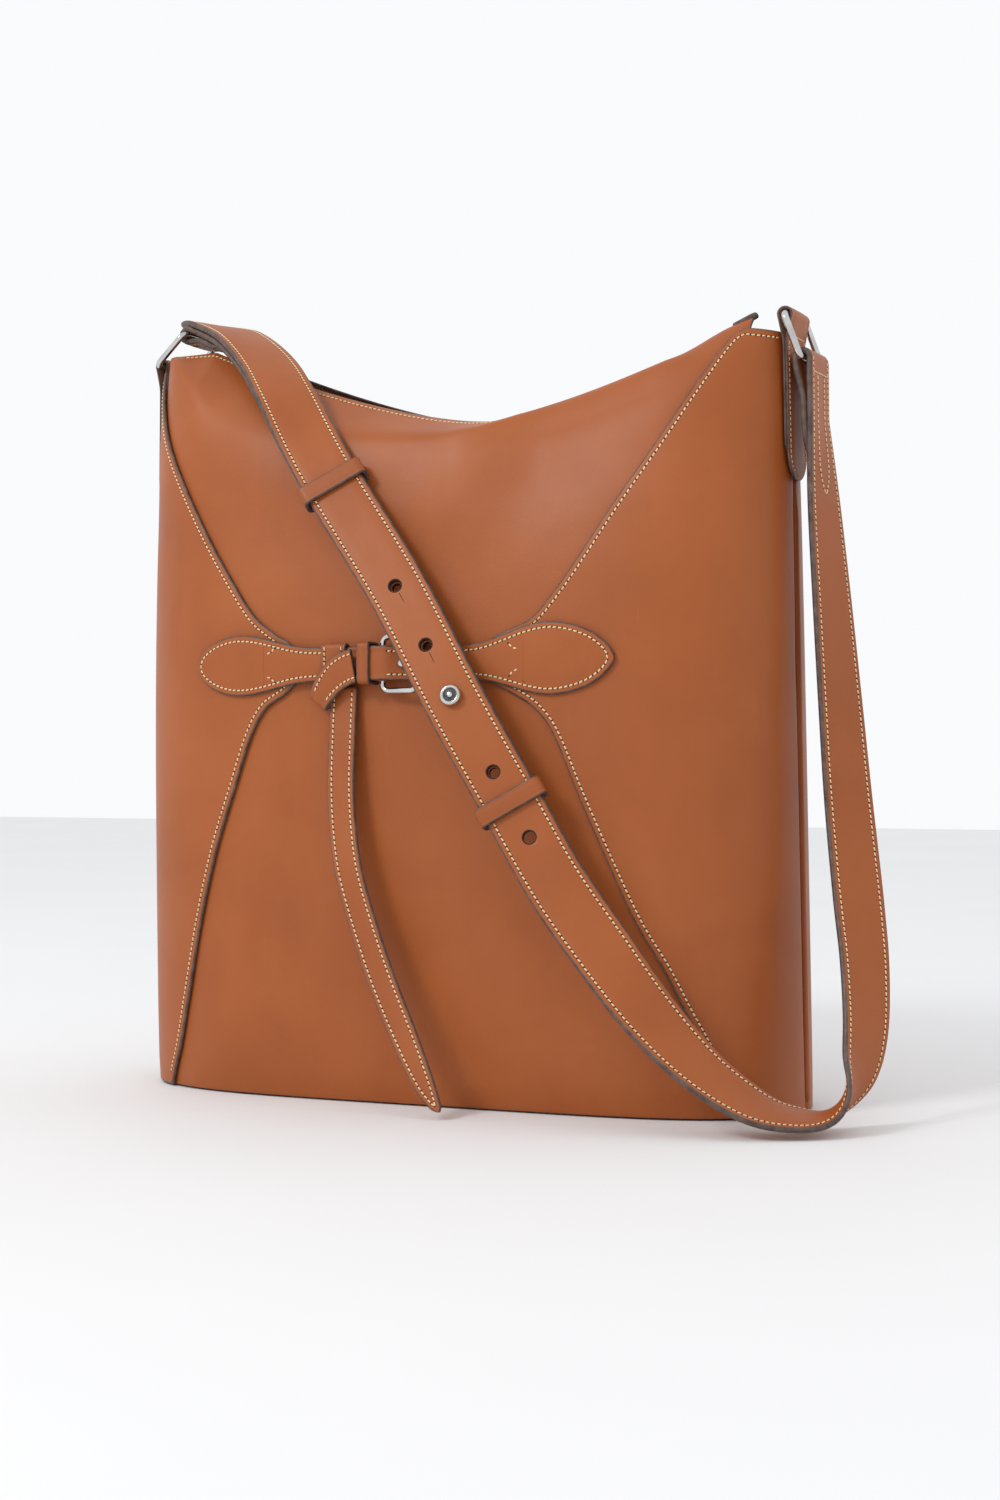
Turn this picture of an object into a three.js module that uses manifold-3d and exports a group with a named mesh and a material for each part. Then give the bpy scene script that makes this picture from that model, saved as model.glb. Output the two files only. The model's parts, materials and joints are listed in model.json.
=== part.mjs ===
// Leather sling bag with an adjustable shoulder strap, a belted front and a buckle.
// Millimetres, +Z up, front towards -Y, origin at the middle of the bag's base.
import * as THREE from 'three';
import { mergeVertices } from 'three/addons/utils/BufferGeometryUtils.js';
import Module from 'manifold-3d';

const wasm = await Module();
wasm.setup();

// ---------- driving dimensions ----------
const bag = { wallFoot: 2.5, leather: 1.8, wingInner: 0.5, seamGap: 0.35 };
const halfWidths = [[0, 166], [180, 164.5], [360, 162]];
const leans = [[0, 0], [180, -2.3], [360, -3.4]];
const rim = { centreX: 22, lowZ: 323, rise: 44, leftReach: 155, rightReach: 136, power: 1.5 };
const wingTopZ = 357;
const lining = { outer: -2.9, inner: -4.1, floorLow: 4.8, floorHigh: 6, rimDrop: 6 };
const pocket = { bottomZ: 120, topZ: 262, reach: 0.45, outer: -4.8, inner: -6 };
const snap = { radius: 9, height: 2.2, z: 296 };
const strapSize = { width: 28, thickness: 2.8, layerGap: 0.4, holeRadius: 2.9, foldLength: 46 };
const ring = { wireRadius: 1.6, halfWidth: 17.2, barSpacing: 21.5, cornerRadius: 3.1 };
const tab = {
  width: 28, thickness: 2.4, gap: 0.2, bottomZ: 289, leftPivotZ: 361.5, rightPivotZ: 364.5,
  boreRadius: 2.2, eyeRadius: 4, neck: 4.4,
};
const belt = { z: 206, thickness: 2, inner: 2.9, neckHalf: 8 };
const ringLeftAngle = THREE.MathUtils.degToRad(43.8);
const ringRightAngle = THREE.MathUtils.degToRad(-69.5);

// ---------- colours ----------
const leather = { color: 0xaf643c, roughness: 0.5, metalness: 0 };
const leatherDark = { color: 0x8f5331, roughness: 0.6, metalness: 0 };
const suede = { color: 0xb98a60, roughness: 0.9, metalness: 0 };
const steel = { color: 0xd8d8d6, roughness: 0.15, metalness: 1 };
const board = { color: 0x6b5a48, roughness: 0.9, metalness: 0 };

// ---------- small maths ----------
const vec = (x, y, z) => new THREE.Vector3(x, y, z);
const along = (point, direction, distance) => point.clone().addScaledVector(direction, distance);
const range = (count, from, to) => Array.from({ length: count + 1 }, (_, i) => from + ((to - from) * i) / count);

function readTable(table, x) {
  const last = table.length - 1;
  if (x <= table[0][0]) return table[0][1];
  if (x >= table[last][0]) return table[last][1];
  const i = table.findIndex(([key]) => key >= x) - 1;
  const slope = (k) => {
    const a = table[Math.max(k - 1, 0)];
    const b = table[Math.min(k + 1, last)];
    return (b[1] - a[1]) / (b[0] - a[0]);
  };
  const [x0, y0] = table[i];
  const [x1, y1] = table[i + 1];
  const h = x1 - x0;
  const t = (x - x0) / h;
  const t2 = t * t;
  const t3 = t2 * t;
  return (2 * t3 - 3 * t2 + 1) * y0 + (t3 - 2 * t2 + t) * h * slope(i)
    + (3 * t2 - 2 * t3) * y1 + (t3 - t2) * h * slope(i + 1);
}

// ---------- the bag's shape ----------
// Half depth of the bag against height as a share of the rim's height at that place.
const depthTable = [
  [0, 56], [0.04, 59], [0.15, 61], [0.5, 63], [0.7, 61], [0.8, 57],
  [0.88, 50.5], [0.94, 44.5], [0.975, 38], [0.99, 31.5], [1, 22],
];
const widthPower = (z) => readTable([[0, 4.6], [280, 4.6], [360, 4.2]], z);
const depthPower = 2.2;

function rimZ(x) {
  const reach = x < rim.centreX ? rim.leftReach : rim.rightReach;
  return rim.lowZ + rim.rise * Math.min(1, Math.abs(x - rim.centreX) / reach) ** rim.power;
}

const leanAt = (z) => readTable(leans, z);
const halfWidth = (z) => readTable(halfWidths, z);

// A place on the wall: s runs -1 (left seam) to 1 (right seam), face is -1 front or 1 back.
const quarterSteps = 48;
function quarterOutline(z) {
  const p = widthPower(z);
  const points = range(quarterSteps, 0, Math.PI / 2).map((angle) => [
    Math.max(0, Math.sin(angle)) ** (2 / p), Math.max(0, Math.cos(angle)) ** (2 / depthPower),
  ]);
  const lengths = [0];
  for (let i = 1; i < points.length; i += 1) {
    const [ax, ay] = points[i - 1];
    const [bx, by] = points[i];
    lengths.push(lengths[i - 1] + Math.hypot((bx - ax) * halfWidth(z), (by - ay) * depthTable[3][1]));
  }
  return { points, lengths };
}

function wallPoint(face, s, z) {
  const { points, lengths } = quarterOutline(z);
  const target = Math.min(1, Math.abs(s)) * lengths[quarterSteps];
  let i = 1;
  while (i < quarterSteps && lengths[i] < target) i += 1;
  const t = (target - lengths[i - 1]) / (lengths[i] - lengths[i - 1]);
  const across = THREE.MathUtils.lerp(points[i - 1][0], points[i][0], t);
  const out = THREE.MathUtils.lerp(points[i - 1][1], points[i][1], t);
  const x = leanAt(z) + Math.sign(s) * across * halfWidth(z);
  const depth = readTable(depthTable, Math.min(1, z / rimZ(x)));
  return vec(x, face * depth * out, z);
}

function wallNormal(face, s, z) {
  const step = 0.01;
  const a = Math.max(-1, s - step);
  const b = Math.min(1, s + step);
  const acrossWall = wallPoint(face, b, z).sub(wallPoint(face, a, z));
  const upWall = wallPoint(face, s, z + 1).sub(wallPoint(face, s, z - 1));
  return acrossWall.cross(upWall).multiplyScalar(-face).normalize();
}

const offWall = (face, s, z, distance) => along(wallPoint(face, s, z), wallNormal(face, s, z), distance);

function shareAt(face, x, z) {
  let low = -1;
  let high = 1;
  for (let i = 0; i < 24; i += 1) {
    const middle = (low + high) / 2;
    if (wallPoint(face, middle, z).x < x) low = middle;
    else high = middle;
  }
  return (low + high) / 2;
}

// ---------- solids from points ----------
function geometryFrom(vertices, triangles) {
  const geometry = new THREE.BufferGeometry();
  geometry.setAttribute('position', new THREE.Float32BufferAttribute(vertices.flatMap((v) => v.toArray()), 3));
  geometry.setIndex(triangles);
  return geometry;
}

function volumeOf(geometry) {
  const position = geometry.attributes.position;
  const index = geometry.index.array;
  const corner = (i) => vec().fromBufferAttribute(position, index[i]);
  let volume = 0;
  for (let i = 0; i < index.length; i += 3) {
    volume += corner(i).dot(corner(i + 1).cross(corner(i + 2))) / 6;
  }
  return volume;
}

function facingOut(geometry) {
  if (volumeOf(geometry) < 0) geometry.setIndex(Array.from(geometry.index.array).reverse());
  return geometry;
}

// A closed sheet between two grids of points that have the same rows and columns.
function sheetSolid(outer, inner) {
  const rows = outer.length;
  const columns = outer[0].length;
  const vertices = [...outer.flat(), ...inner.flat()];
  const shift = rows * columns;
  const at = (i, j) => i * columns + j;
  const triangles = [];
  const quad = (a, b, c, d) => triangles.push(a, b, c, a, c, d);
  for (let i = 0; i < rows - 1; i += 1) {
    for (let j = 0; j < columns - 1; j += 1) {
      quad(at(i, j), at(i, j + 1), at(i + 1, j + 1), at(i + 1, j));
      quad(shift + at(i, j), shift + at(i + 1, j), shift + at(i + 1, j + 1), shift + at(i, j + 1));
    }
  }
  for (let j = 0; j < columns - 1; j += 1) {
    quad(at(0, j + 1), at(0, j), shift + at(0, j), shift + at(0, j + 1));
    quad(at(rows - 1, j), at(rows - 1, j + 1), shift + at(rows - 1, j + 1), shift + at(rows - 1, j));
  }
  for (let i = 0; i < rows - 1; i += 1) {
    quad(at(i, 0), at(i + 1, 0), shift + at(i + 1, 0), shift + at(i, 0));
    quad(at(i + 1, columns - 1), at(i, columns - 1), shift + at(i, columns - 1), shift + at(i + 1, columns - 1));
  }
  return facingOut(geometryFrom(vertices, triangles));
}

// A closed skin through rings of points; the first and last ring are capped, or joined up.
function ringSolid(rings, joined = false) {
  const size = rings[0].length;
  const vertices = rings.flat();
  const triangles = [];
  const at = (i, j) => (i % rings.length) * size + (j % size);
  const spans = joined ? rings.length : rings.length - 1;
  for (let i = 0; i < spans; i += 1) {
    for (let j = 0; j < size; j += 1) {
      triangles.push(at(i, j), at(i, j + 1), at(i + 1, j + 1), at(i, j), at(i + 1, j + 1), at(i + 1, j));
    }
  }
  if (!joined) {
    for (let j = 1; j < size - 1; j += 1) {
      triangles.push(at(0, 0), at(0, j + 1), at(0, j));
      triangles.push(at(rings.length - 1, 0), at(rings.length - 1, j), at(rings.length - 1, j + 1));
    }
  }
  return facingOut(geometryFrom(vertices, triangles));
}

function toManifold(geometry) {
  const bare = geometry.clone();
  Object.keys(bare.attributes).filter((name) => name !== 'position').forEach((name) => bare.deleteAttribute(name));
  const merged = mergeVertices(bare, 1e-4);
  return new wasm.Manifold(new wasm.Mesh({
    numProp: 3,
    vertProperties: Float32Array.from(merged.attributes.position.array),
    triVerts: Uint32Array.from(merged.index.array),
  }));
}

function fromManifold(manifold) {
  const result = manifold.getMesh();
  const geometry = new THREE.BufferGeometry();
  geometry.setAttribute('position', new THREE.BufferAttribute(Float32Array.from(result.vertProperties), 3));
  geometry.setIndex(Array.from(result.triVerts));
  return geometry;
}

const cut = (geometry, ...tools) => fromManifold(
  tools.reduce((body, tool) => body.subtract(toManifold(tool)), toManifold(geometry)),
);
const common = (a, b) => fromManifold(toManifold(a).intersect(toManifold(b)));

// Places a geometry with its X, Y and Z axes along the given directions.
function placed(geometry, x, y, z, origin) {
  return geometry.applyMatrix4(new THREE.Matrix4().makeBasis(x, y, z).setPosition(origin));
}

// ---------- ribbons: flat straps along a curve, with a direction across them ----------
function framed(points, sides) {
  return points.map((point, i) => {
    const next = points[Math.min(i + 1, points.length - 1)];
    const tangent = next.clone().sub(points[Math.max(i - 1, 0)]).normalize();
    const side = sides[i].clone().addScaledVector(tangent, -sides[i].dot(tangent)).normalize();
    return { point, tangent, side, normal: tangent.clone().cross(side) };
  });
}

function ribbonPath(stations) {
  const centre = new THREE.CatmullRomCurve3(stations.map(([point]) => vec(...point)), false, 'catmullrom', 0.5);
  const across = new THREE.CatmullRomCurve3(stations.map(([, side]) => vec(...side)), false, 'catmullrom', 0.5);
  return (t) => {
    const point = centre.getPoint(t);
    const tangent = centre.getTangent(t);
    const side = across.getPoint(t);
    side.addScaledVector(tangent, -side.dot(tangent)).normalize();
    return { point, tangent, side, normal: tangent.clone().cross(side) };
  };
}

function ribbonSolid(stations, thickness, halfWidths) {
  const rings = stations.map(({ point, side, normal }, i) => {
    const half = halfWidths[i];
    const corner = (w, n) => along(along(point, side, w * half), normal, (n * thickness) / 2);
    return [corner(-1, -1), corner(1, -1), corner(1, 1), corner(-1, 1)];
  });
  return ringSolid(rings);
}

// A rectangular band that wraps a strap; the strap runs along the band's tangent.
function bandSolid(station, inner, wall, length) {
  const rect = (w, low, high) => new THREE.Shape([
    new THREE.Vector2(-w, low), new THREE.Vector2(w, low), new THREE.Vector2(w, high), new THREE.Vector2(-w, high),
  ]);
  const shape = rect(inner.half + wall, inner.low - wall, inner.high + wall);
  shape.holes.push(rect(inner.half, inner.low, inner.high));
  const geometry = new THREE.ExtrudeGeometry(shape, { depth: length, bevelEnabled: false });
  geometry.translate(0, 0, -length / 2);
  const { side, normal, point } = station;
  return placed(geometry, side, normal, side.clone().cross(normal), point);
}

// ---------- wings, panels and lining ----------
// Front edges of the two wings, as x against height.
const rightWingEdge = [
  [2, 147], [12, 143.5], [34, 134.9], [48, 128], [68, 118.4], [88, 106.7], [121, 91.4], [148, 79.4], [175, 67.5],
  [186, 58], [193, 46], [199, 34], [206, 30], [214, 34], [220, 44], [225, 56], [236, 66.5], [251, 77.5],
  [272, 91], [301, 109.5], [331, 127], [350, 138], [354, 141], [357, 145],
];
const leftWingEdge = [
  [2, -143], [20, -135], [45, -128], [84, -118.5], [118, -108.5], [147, -97.5], [174, -87], [186, -79],
  [193, -68], [206, -58], [216, -66], [221, -75], [229, -86], [245, -98.5], [278, -121.5], [320, -147.5],
  [345, -158], [357, -161.5],
];
const wingEdges = [leftWingEdge, rightWingEdge];
const edgeOf = (side) => (side > 0 ? wingEdges[1] : wingEdges[0]);

function wingSolid(side) {
  const lowRows = [...range(10, bag.wallFoot, 180), ...range(9, 186, 226)];
  const rows = [...lowRows, ...range(8, 238, 332), ...range(7, 338, wingTopZ)];
  const columns = 14;
  const grid = (distance) => rows.map((z) => {
    const edge = shareAt(-1, readTable(edgeOf(side), z), z);
    return range(columns, side * (1 - bag.seamGap / 100), edge).map((s) => offWall(-1, s, z, distance));
  });
  return sheetSolid(grid(bag.wingInner + bag.leather), grid(bag.wingInner));
}

function frontPanelSolid() {
  const underlap = 11;
  const rows = [
    0, 0.06, 0.15, 0.25, 0.36, 0.48, 0.55, 0.6, 0.66, 0.72, 0.78, 0.83, 0.88, 0.92, 0.95, 0.965, 0.98, 0.988, 0.996,
  ];
  const columns = 26;
  const edgeX = (share, side) => {
    let x = side * 120;
    for (let i = 0; i < 6; i += 1) {
      const z = Math.min(wingTopZ, share * rimZ(x));
      x = readTable(edgeOf(side), z) + side * underlap;
    }
    return Math.max(-158, Math.min(150, x));
  };
  const grid = (distance) => rows.map((share) => range(columns, edgeX(share, -1), edgeX(share, 1)).map((x) => {
    const z = Math.max(bag.wallFoot, share * rimZ(x));
    return offWall(-1, shareAt(-1, x, z), z, distance);
  }));
  return sheetSolid(grid(0), grid(-bag.leather));
}

// Top of the back panel: the front's curve, cut level with the wings at the seams.
const backTopZ = (x) => Math.min(wingTopZ, rimZ(x) * 0.996);

function backPanelSolid() {
  const columns = 32;
  const rows = [0, 0.1, 0.25, 0.45, 0.6, 0.7, 0.78, 0.85, 0.9, 0.94, 0.97, 0.985, 1];
  const reach = 1 - bag.seamGap / 100;
  const grid = (distance) => rows.map((share) => range(columns, -reach, reach).map((s) => {
    const top = backTopZ(wallPoint(1, s, wingTopZ - 10).x);
    return offWall(1, s, Math.max(bag.wallFoot, share * top), distance);
  }));
  return sheetSolid(grid(bag.wingInner + bag.leather), grid(bag.wingInner));
}

// The wall's outline at one height, once round, starting at the right seam.
function outlineRing(z, distance, count = 15, topLimit = () => z) {
  const shares = range(count, 1, -1).slice(0, -1);
  const front = shares.map((s) => offWall(-1, s, topLimit(wallPoint(-1, s, z).x), distance));
  const back = shares.map((s) => offWall(1, -s, topLimit(wallPoint(1, -s, z).x), distance));
  return [...front, ...back];
}

function slabSolid(low, high, distance) {
  const flat = (z) => outlineRing(bag.wallFoot, distance).map((point) => vec(point.x, point.y, z));
  return ringSolid([flat(low), flat(high)]);
}

function liningSolid() {
  const top = (x) => Math.min(wingTopZ, rimZ(x)) - lining.rimDrop;
  const shares = [0, 0.14, 0.3, 0.45, 0.58, 0.7, 0.79, 0.86, 0.91, 0.95, 0.98, 1];
  const rings = (distance, floor) => shares.map((share) => outlineRing(
    share * 340 + 10, distance, 16, (x) => floor + share * (top(x) - floor),
  ));
  const flatten = (ringPoints, z) => ringPoints.map((point) => vec(point.x, point.y, z));
  const outer = rings(lining.outer, lining.floorLow);
  const inner = rings(lining.inner, lining.floorHigh);
  outer[0] = flatten(outer[0], lining.floorLow);
  inner[0] = flatten(inner[0], lining.floorHigh);
  return ringSolid([...outer, ...inner.reverse()]);
}

function pocketSolid() {
  const grid = (distance) => range(6, pocket.bottomZ, pocket.topZ).map((z) => (
    range(10, -pocket.reach, pocket.reach).map((s) => offWall(1, s, z, distance))
  ));
  return sheetSolid(grid(pocket.outer), grid(pocket.inner));
}

function snapSolid(face, isMale) {
  const { radius, height, z } = snap;
  const stud = isMale ? [[3.2, height], [3.2, height + 1.6], [0, height + 1.6]] : [[3.8, height], [3.8, 1], [0, 1]];
  const profile = [[0, 0], [radius, 0], [radius, height - 0.6], [radius - 0.6, height], ...stud];
  const geometry = new THREE.LatheGeometry(profile.map(([x, y]) => new THREE.Vector2(x, y)), 20);
  const inward = wallNormal(face, 0, z).negate();
  const side = vec(1, 0, 0);
  return placed(geometry, side, inward, side.clone().cross(inward), offWall(face, 0, z, lining.inner - 0.7));
}

// ---------- side tabs and rings ----------
const sideX = (side, z) => leanAt(z) + side * (halfWidth(z) + bag.wingInner + bag.leather + tab.gap);
const tabPivot = (side) => vec(
  sideX(side, wingTopZ) + (side * tab.thickness) / 2, 0, side > 0 ? tab.rightPivotZ : tab.leftPivotZ,
);

function tabSolid(side) {
  const pivot = tabPivot(side);
  const start = Math.PI * 1.25;
  const neckZ = pivot.z - tab.neck;
  const profile = new THREE.Shape();
  profile.moveTo(side * sideX(side, tab.bottomZ), tab.bottomZ);
  profile.lineTo(side * sideX(side, neckZ), neckZ);
  profile.absarc(side * pivot.x, pivot.z, tab.eyeRadius, start, start - Math.PI * 1.5, true);
  profile.lineTo(side * sideX(side, neckZ) + tab.thickness, neckZ);
  profile.lineTo(side * sideX(side, tab.bottomZ) + tab.thickness, tab.bottomZ);
  profile.closePath();
  const bore = new THREE.Path().absarc(side * pivot.x, pivot.z, tab.boreRadius, 0, Math.PI * 2, false);
  profile.holes.push(bore);
  const strip = new THREE.ExtrudeGeometry(profile, { depth: tab.width, bevelEnabled: false, curveSegments: 7 });
  strip.translate(0, 0, -tab.width / 2);
  placed(strip, vec(side, 0, 0), vec(0, 0, 1), vec(0, -side, 0), vec(0, 0, 0));
  const half = tab.width / 2;
  const outline = new THREE.Shape();
  outline.moveTo(-half, pivot.z + 20);
  outline.lineTo(-half, tab.bottomZ + half);
  outline.absellipse(0, tab.bottomZ + half, half, half - 1, Math.PI, Math.PI * 2, false);
  outline.lineTo(half, pivot.z + 20);
  const mask = new THREE.ExtrudeGeometry(outline, { depth: 60, bevelEnabled: false, curveSegments: 8 });
  mask.translate(0, 0, -30);
  placed(mask, vec(0, 1, 0), vec(0, 0, 1), vec(1, 0, 0), vec(pivot.x, 0, 0));
  return common(strip, mask);
}

// A rounded rectangle of round wire: one bar on the pivot, the other barSpacing away.
function ringWireSolid(pivot, angle) {
  const outward = vec(Math.cos(angle), 0, Math.sin(angle));
  const half = ring.halfWidth;
  const r = ring.cornerRadius;
  const corners = [
    [half - r, r, -90], [half - r, ring.barSpacing - r, 0],
    [-(half - r), ring.barSpacing - r, 90], [-(half - r), r, 180],
  ];
  const plan = corners.flatMap(([y, u, start]) => range(5, start, start + 90).map((degrees) => {
    const turn = THREE.MathUtils.degToRad(degrees);
    return { y: y + r * Math.cos(turn), u: u + r * Math.sin(turn), turn };
  }));
  const up = vec(0, 1, 0).cross(outward);
  const rings = plan.map(({ y, u, turn }) => {
    const centre = along(vec(pivot.x, y, pivot.z), outward, u);
    const out = vec(0, Math.cos(turn), 0).addScaledVector(outward, Math.sin(turn));
    return range(8, 0, Math.PI * 2).slice(0, -1).map((a) => (
      along(along(centre, out, ring.wireRadius * Math.cos(a)), up, ring.wireRadius * Math.sin(a))
    ));
  });
  return ringSolid(rings, true);
}

const ringEnd = (pivot, angle) => vec(
  pivot.x + ring.barSpacing * Math.cos(angle), 0, pivot.z + ring.barSpacing * Math.sin(angle),
);

// ---------- shoulder strap ----------
// Centre line of the long strap and the direction across it: from its tip over the left corner,
// down across the front, round under and up to the right ring.
const strapStations = [
  [[-163, 0, 383.7], [0, 1, 0]], [[-147, -1, 381.9], [0.04, 1, 0.06]], [[-123, -14.5, 373.8], [0.15, 0.95, 0.24]],
  [[-98, -31.5, 357], [0.3, 0.85, 0.38]], [[-78, -47.5, 337.5], [0.52, 0.7, 0.45]],
  [[-60, -59, 314.5], [0.7, 0.5, 0.48]], [[-41.5, -66.5, 289.6], [0.78, 0.36, 0.49]],
  [[-4, -75.5, 239.6], [0.8, 0.28, 0.51]], [[27, -82, 189.6], [0.8, 0.27, 0.52]], [[55.5, -83.5, 143.8], [0.8, 0.28, 0.53]],
  [[78, -84.5, 108], [0.77, 0.3, 0.57]], [[100, -85, 79], [0.6, 0.48, 0.6]], [[123, -85.5, 51], [0.42, 0.72, 0.55]],
  [[145, -85, 29.5], [0.2, 0.84, 0.44]], [[165.5, -81.5, 15], [-0.05, 0.9, 0.4]], [[181, -74, 8.6], [-0.35, 0.88, 0.26]],
  [[193, -64, 8], [-0.45, 0.8, 0.08]], [[201, -54, 13.5], [-0.3, 0.9, -0.35]], [[205, -44, 27], [0.25, 0.9, -0.32]],
  [[205.5, -35, 45], [0.45, 0.82, -0.28]], [[202, -24, 71], [0.55, 0.78, -0.22]], [[196.5, -14, 98], [0.6, 0.78, -0.15]],
  [[189.5, -6, 143], [0.54, 0.84, -0.03]], [[184.7, -3, 189], [0.44, 0.9, 0]], [[180.3, -1, 235], [0.33, 0.94, 0]],
  [[176.2, 0, 280], [0.2, 0.98, 0.01]], [[173.5, 0, 318], [0, 1, 0]],
];
const strapAt = ribbonPath(strapStations);
const spans = strapStations.length - 1;
const layerStep = strapSize.thickness + strapSize.layerGap;
const foldRadius = ring.wireRadius + 0.35 + strapSize.thickness / 2;
const strapHalf = strapSize.width / 2;
const keeper = { upperZ: 291, lowerZ: 142.5, sideGap: 0.9, faceGap: 0.7, wall: 1.9, length: 9 };
const studZ = 190;
const holeHeights = [241, 213.5, studZ, 156, 127];
const shortHoleHeights = [241, 213.5, 156];
const studShankRadius = 1.5;

// Where the strap's centre line passes a given x or z, between two of its stations.
function strapWhere(axis, value, from, to) {
  const falling = strapAt(from / spans).point[axis] > strapAt(to / spans).point[axis];
  let low = from / spans;
  let high = to / spans;
  for (let i = 0; i < 30; i += 1) {
    const middle = (low + high) / 2;
    if (strapAt(middle).point[axis] > value === falling) low = middle;
    else high = middle;
  }
  return { ...strapAt(low), t: low };
}

const strapAtHeight = (z) => strapWhere('z', z, 3, 12);

// A half turn of strap round a ring bar, from one leg to the other.
function foldPoints(bar, from, to) {
  return range(6, from, to).map((angle) => along(bar, vec(Math.cos(angle), 0, Math.sin(angle)), foldRadius));
}

// How far apart the two legs of a fold lie, against the distance from the ring bar.
const legSpacing = (distance) => THREE.MathUtils.lerp(2 * foldRadius, layerStep, Math.min(1, distance / 22));

// Half width of a strap near a rounded end.
function endHalf(half, length, distanceToEnd) {
  const share = Math.max(0, 1 - distanceToEnd / length);
  return half * Math.sqrt(Math.max(0.03, 1 - share ** 2.2));
}

function halvesAlong(stations, half, startLength, endLength) {
  const lengths = [0];
  stations.slice(1).forEach(({ point }, i) => lengths.push(lengths[i] + point.distanceTo(stations[i].point)));
  const total = lengths[lengths.length - 1];
  return lengths.map((length) => Math.min(
    startLength > 0 ? endHalf(half, startLength, length) : half,
    endLength > 0 ? endHalf(half, endLength, total - length) : half,
  ));
}

function holeCutter(station, radius) {
  const cutter = new THREE.CylinderGeometry(radius, radius, 14, 10);
  const { side, normal, point } = station;
  return placed(cutter, side, normal, side.clone().cross(normal), point);
}

const acrossFold = vec(0, 1, 0);

function longStrapSolid() {
  const run = [0, 0.0015, 0.004, 0.008, 0.014, ...range(72, 0.022, 1)].map((t) => strapAt(t));
  const bar = ringEnd(tabPivot(1), ringRightAngle);
  const fold = foldPoints(bar, 0, Math.PI);
  const leg = range(5, 5, strapSize.foldLength).map((drop) => {
    const z = bar.z - drop;
    const low = run[run.length - 1].point;
    const slope = (bar.x + foldRadius - low.x) / (bar.z - low.z);
    const outerX = z > low.z ? low.x + slope * (z - low.z) : strapWhere('z', z, spans - 2, spans).point.x;
    return vec(outerX - legSpacing(drop), 0, z);
  });
  const points = [...run.map(({ point }) => point), ...fold, ...leg];
  const sides = [...run.map(({ side }) => side), ...fold.map(() => acrossFold), ...leg.map(() => acrossFold)];
  const stations = framed(points, sides);
  const solid = ribbonSolid(stations, strapSize.thickness, halvesAlong(stations, strapHalf, 14, 14));
  return cut(solid, ...holeHeights.map((z) => holeCutter(strapAtHeight(z), strapSize.holeRadius)));
}

function shortStrapSolid() {
  const bar = ringEnd(tabPivot(-1), ringLeftAngle);
  const { t: barT, normal: barNormal } = strapWhere('x', bar.x, 0, 3);
  const under = (t, distance) => {
    const { point, side, normal } = strapAt(t);
    return { point: along(point, normal, -distance), side };
  };
  const lastT = strapAtHeight(keeper.lowerZ - 9).t;
  const upper = range(48, barT + 0.012, lastT).map((t) => under(t, layerStep));
  const leg = range(5, 4, 36).reverse().map((distance) => (
    under(strapWhere('x', bar.x + distance, 0, 4).t, layerStep + legSpacing(distance))
  ));
  const topAngle = Math.atan2(barNormal.z, barNormal.x);
  const fold = foldPoints(bar, topAngle + Math.PI, topAngle);
  const points = [...leg.map(({ point }) => point), ...fold, ...upper.map(({ point }) => point)];
  const sides = [...leg.map(({ side }) => side), ...fold.map(() => acrossFold), ...upper.map(({ side }) => side)];
  const stations = framed(points, sides);
  const solid = ribbonSolid(stations, strapSize.thickness, halvesAlong(stations, strapHalf, 12, 12));
  const holes = shortHoleHeights.map((z) => holeCutter(strapAtHeight(z), strapSize.holeRadius - 0.6));
  return cut(solid, holeCutter(strapAtHeight(studZ), studShankRadius + 0.35), ...holes);
}

function keeperSolid(z) {
  const station = strapAtHeight(z);
  const outerFace = strapSize.thickness / 2;
  const inner = {
    half: strapHalf + keeper.sideGap, low: -outerFace - layerStep - keeper.faceGap, high: outerFace + keeper.faceGap,
  };
  return bandSolid(station, inner, keeper.wall, keeper.length);
}

function turnedSolid(profile, station, segments = 16) {
  const geometry = new THREE.LatheGeometry(profile.map(([x, y]) => new THREE.Vector2(x, y)), segments);
  const { side, normal, point } = station;
  return placed(geometry, side, normal, side.clone().cross(normal), point);
}

function studKnobSolid() {
  const foot = -strapSize.thickness / 2 - strapSize.layerGap / 2 + 0.1;
  const top = strapSize.thickness / 2;
  const profile = [
    [0, foot], [2.3, foot], [2.3, top + 0.4], [4.5, top + 1], [4.9, top + 2.4], [4.4, top + 3.6],
    [3.4, top + 4], [3.1, top + 3.6], [0, top + 3.6],
  ];
  return turnedSolid(profile, strapAtHeight(studZ));
}

function studBaseSolid() {
  const face = -strapSize.thickness / 2 - layerStep - 0.3;
  const shankTop = -strapSize.thickness / 2 - strapSize.layerGap / 2 - 0.2;
  const profile = [[0, face - 1], [4.4, face - 1], [4.4, face], [studShankRadius, face], [studShankRadius, shankTop], [0, shankTop]];
  return turnedSolid(profile, strapAtHeight(studZ), 12);
}

// ---------- belt across the front ----------
// Places are [x, z, distance from the wall, half width]; the wall is taken at the belt's height.
const wallAt = (x, z) => wallPoint(-1, shareAt(-1, x, z), z);

function beltRibbon(places, thickness, sides = places.map(() => vec(0, 0, 1))) {
  const points = places.map(([x, z, lift]) => offWall(-1, shareAt(-1, x, z), z, lift));
  const stations = framed(points, sides);
  return ribbonSolid(stations, thickness, places.map(([, , , half]) => half));
}

const beltCentre = belt.inner + belt.thickness / 2;
const buckle = { barX: -15.5, farX: 3, halfHeight: 12.5, wire: 1.4, barLift: 5.4, farLift: 7.6, eyeGap: 0.3, skin: 1.5 };
const beltOverBar = buckle.barLift + buckle.wire + buckle.eyeGap + buckle.skin + 0.3 + belt.thickness / 2;
const prongHoleX = -7.5;

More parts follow.
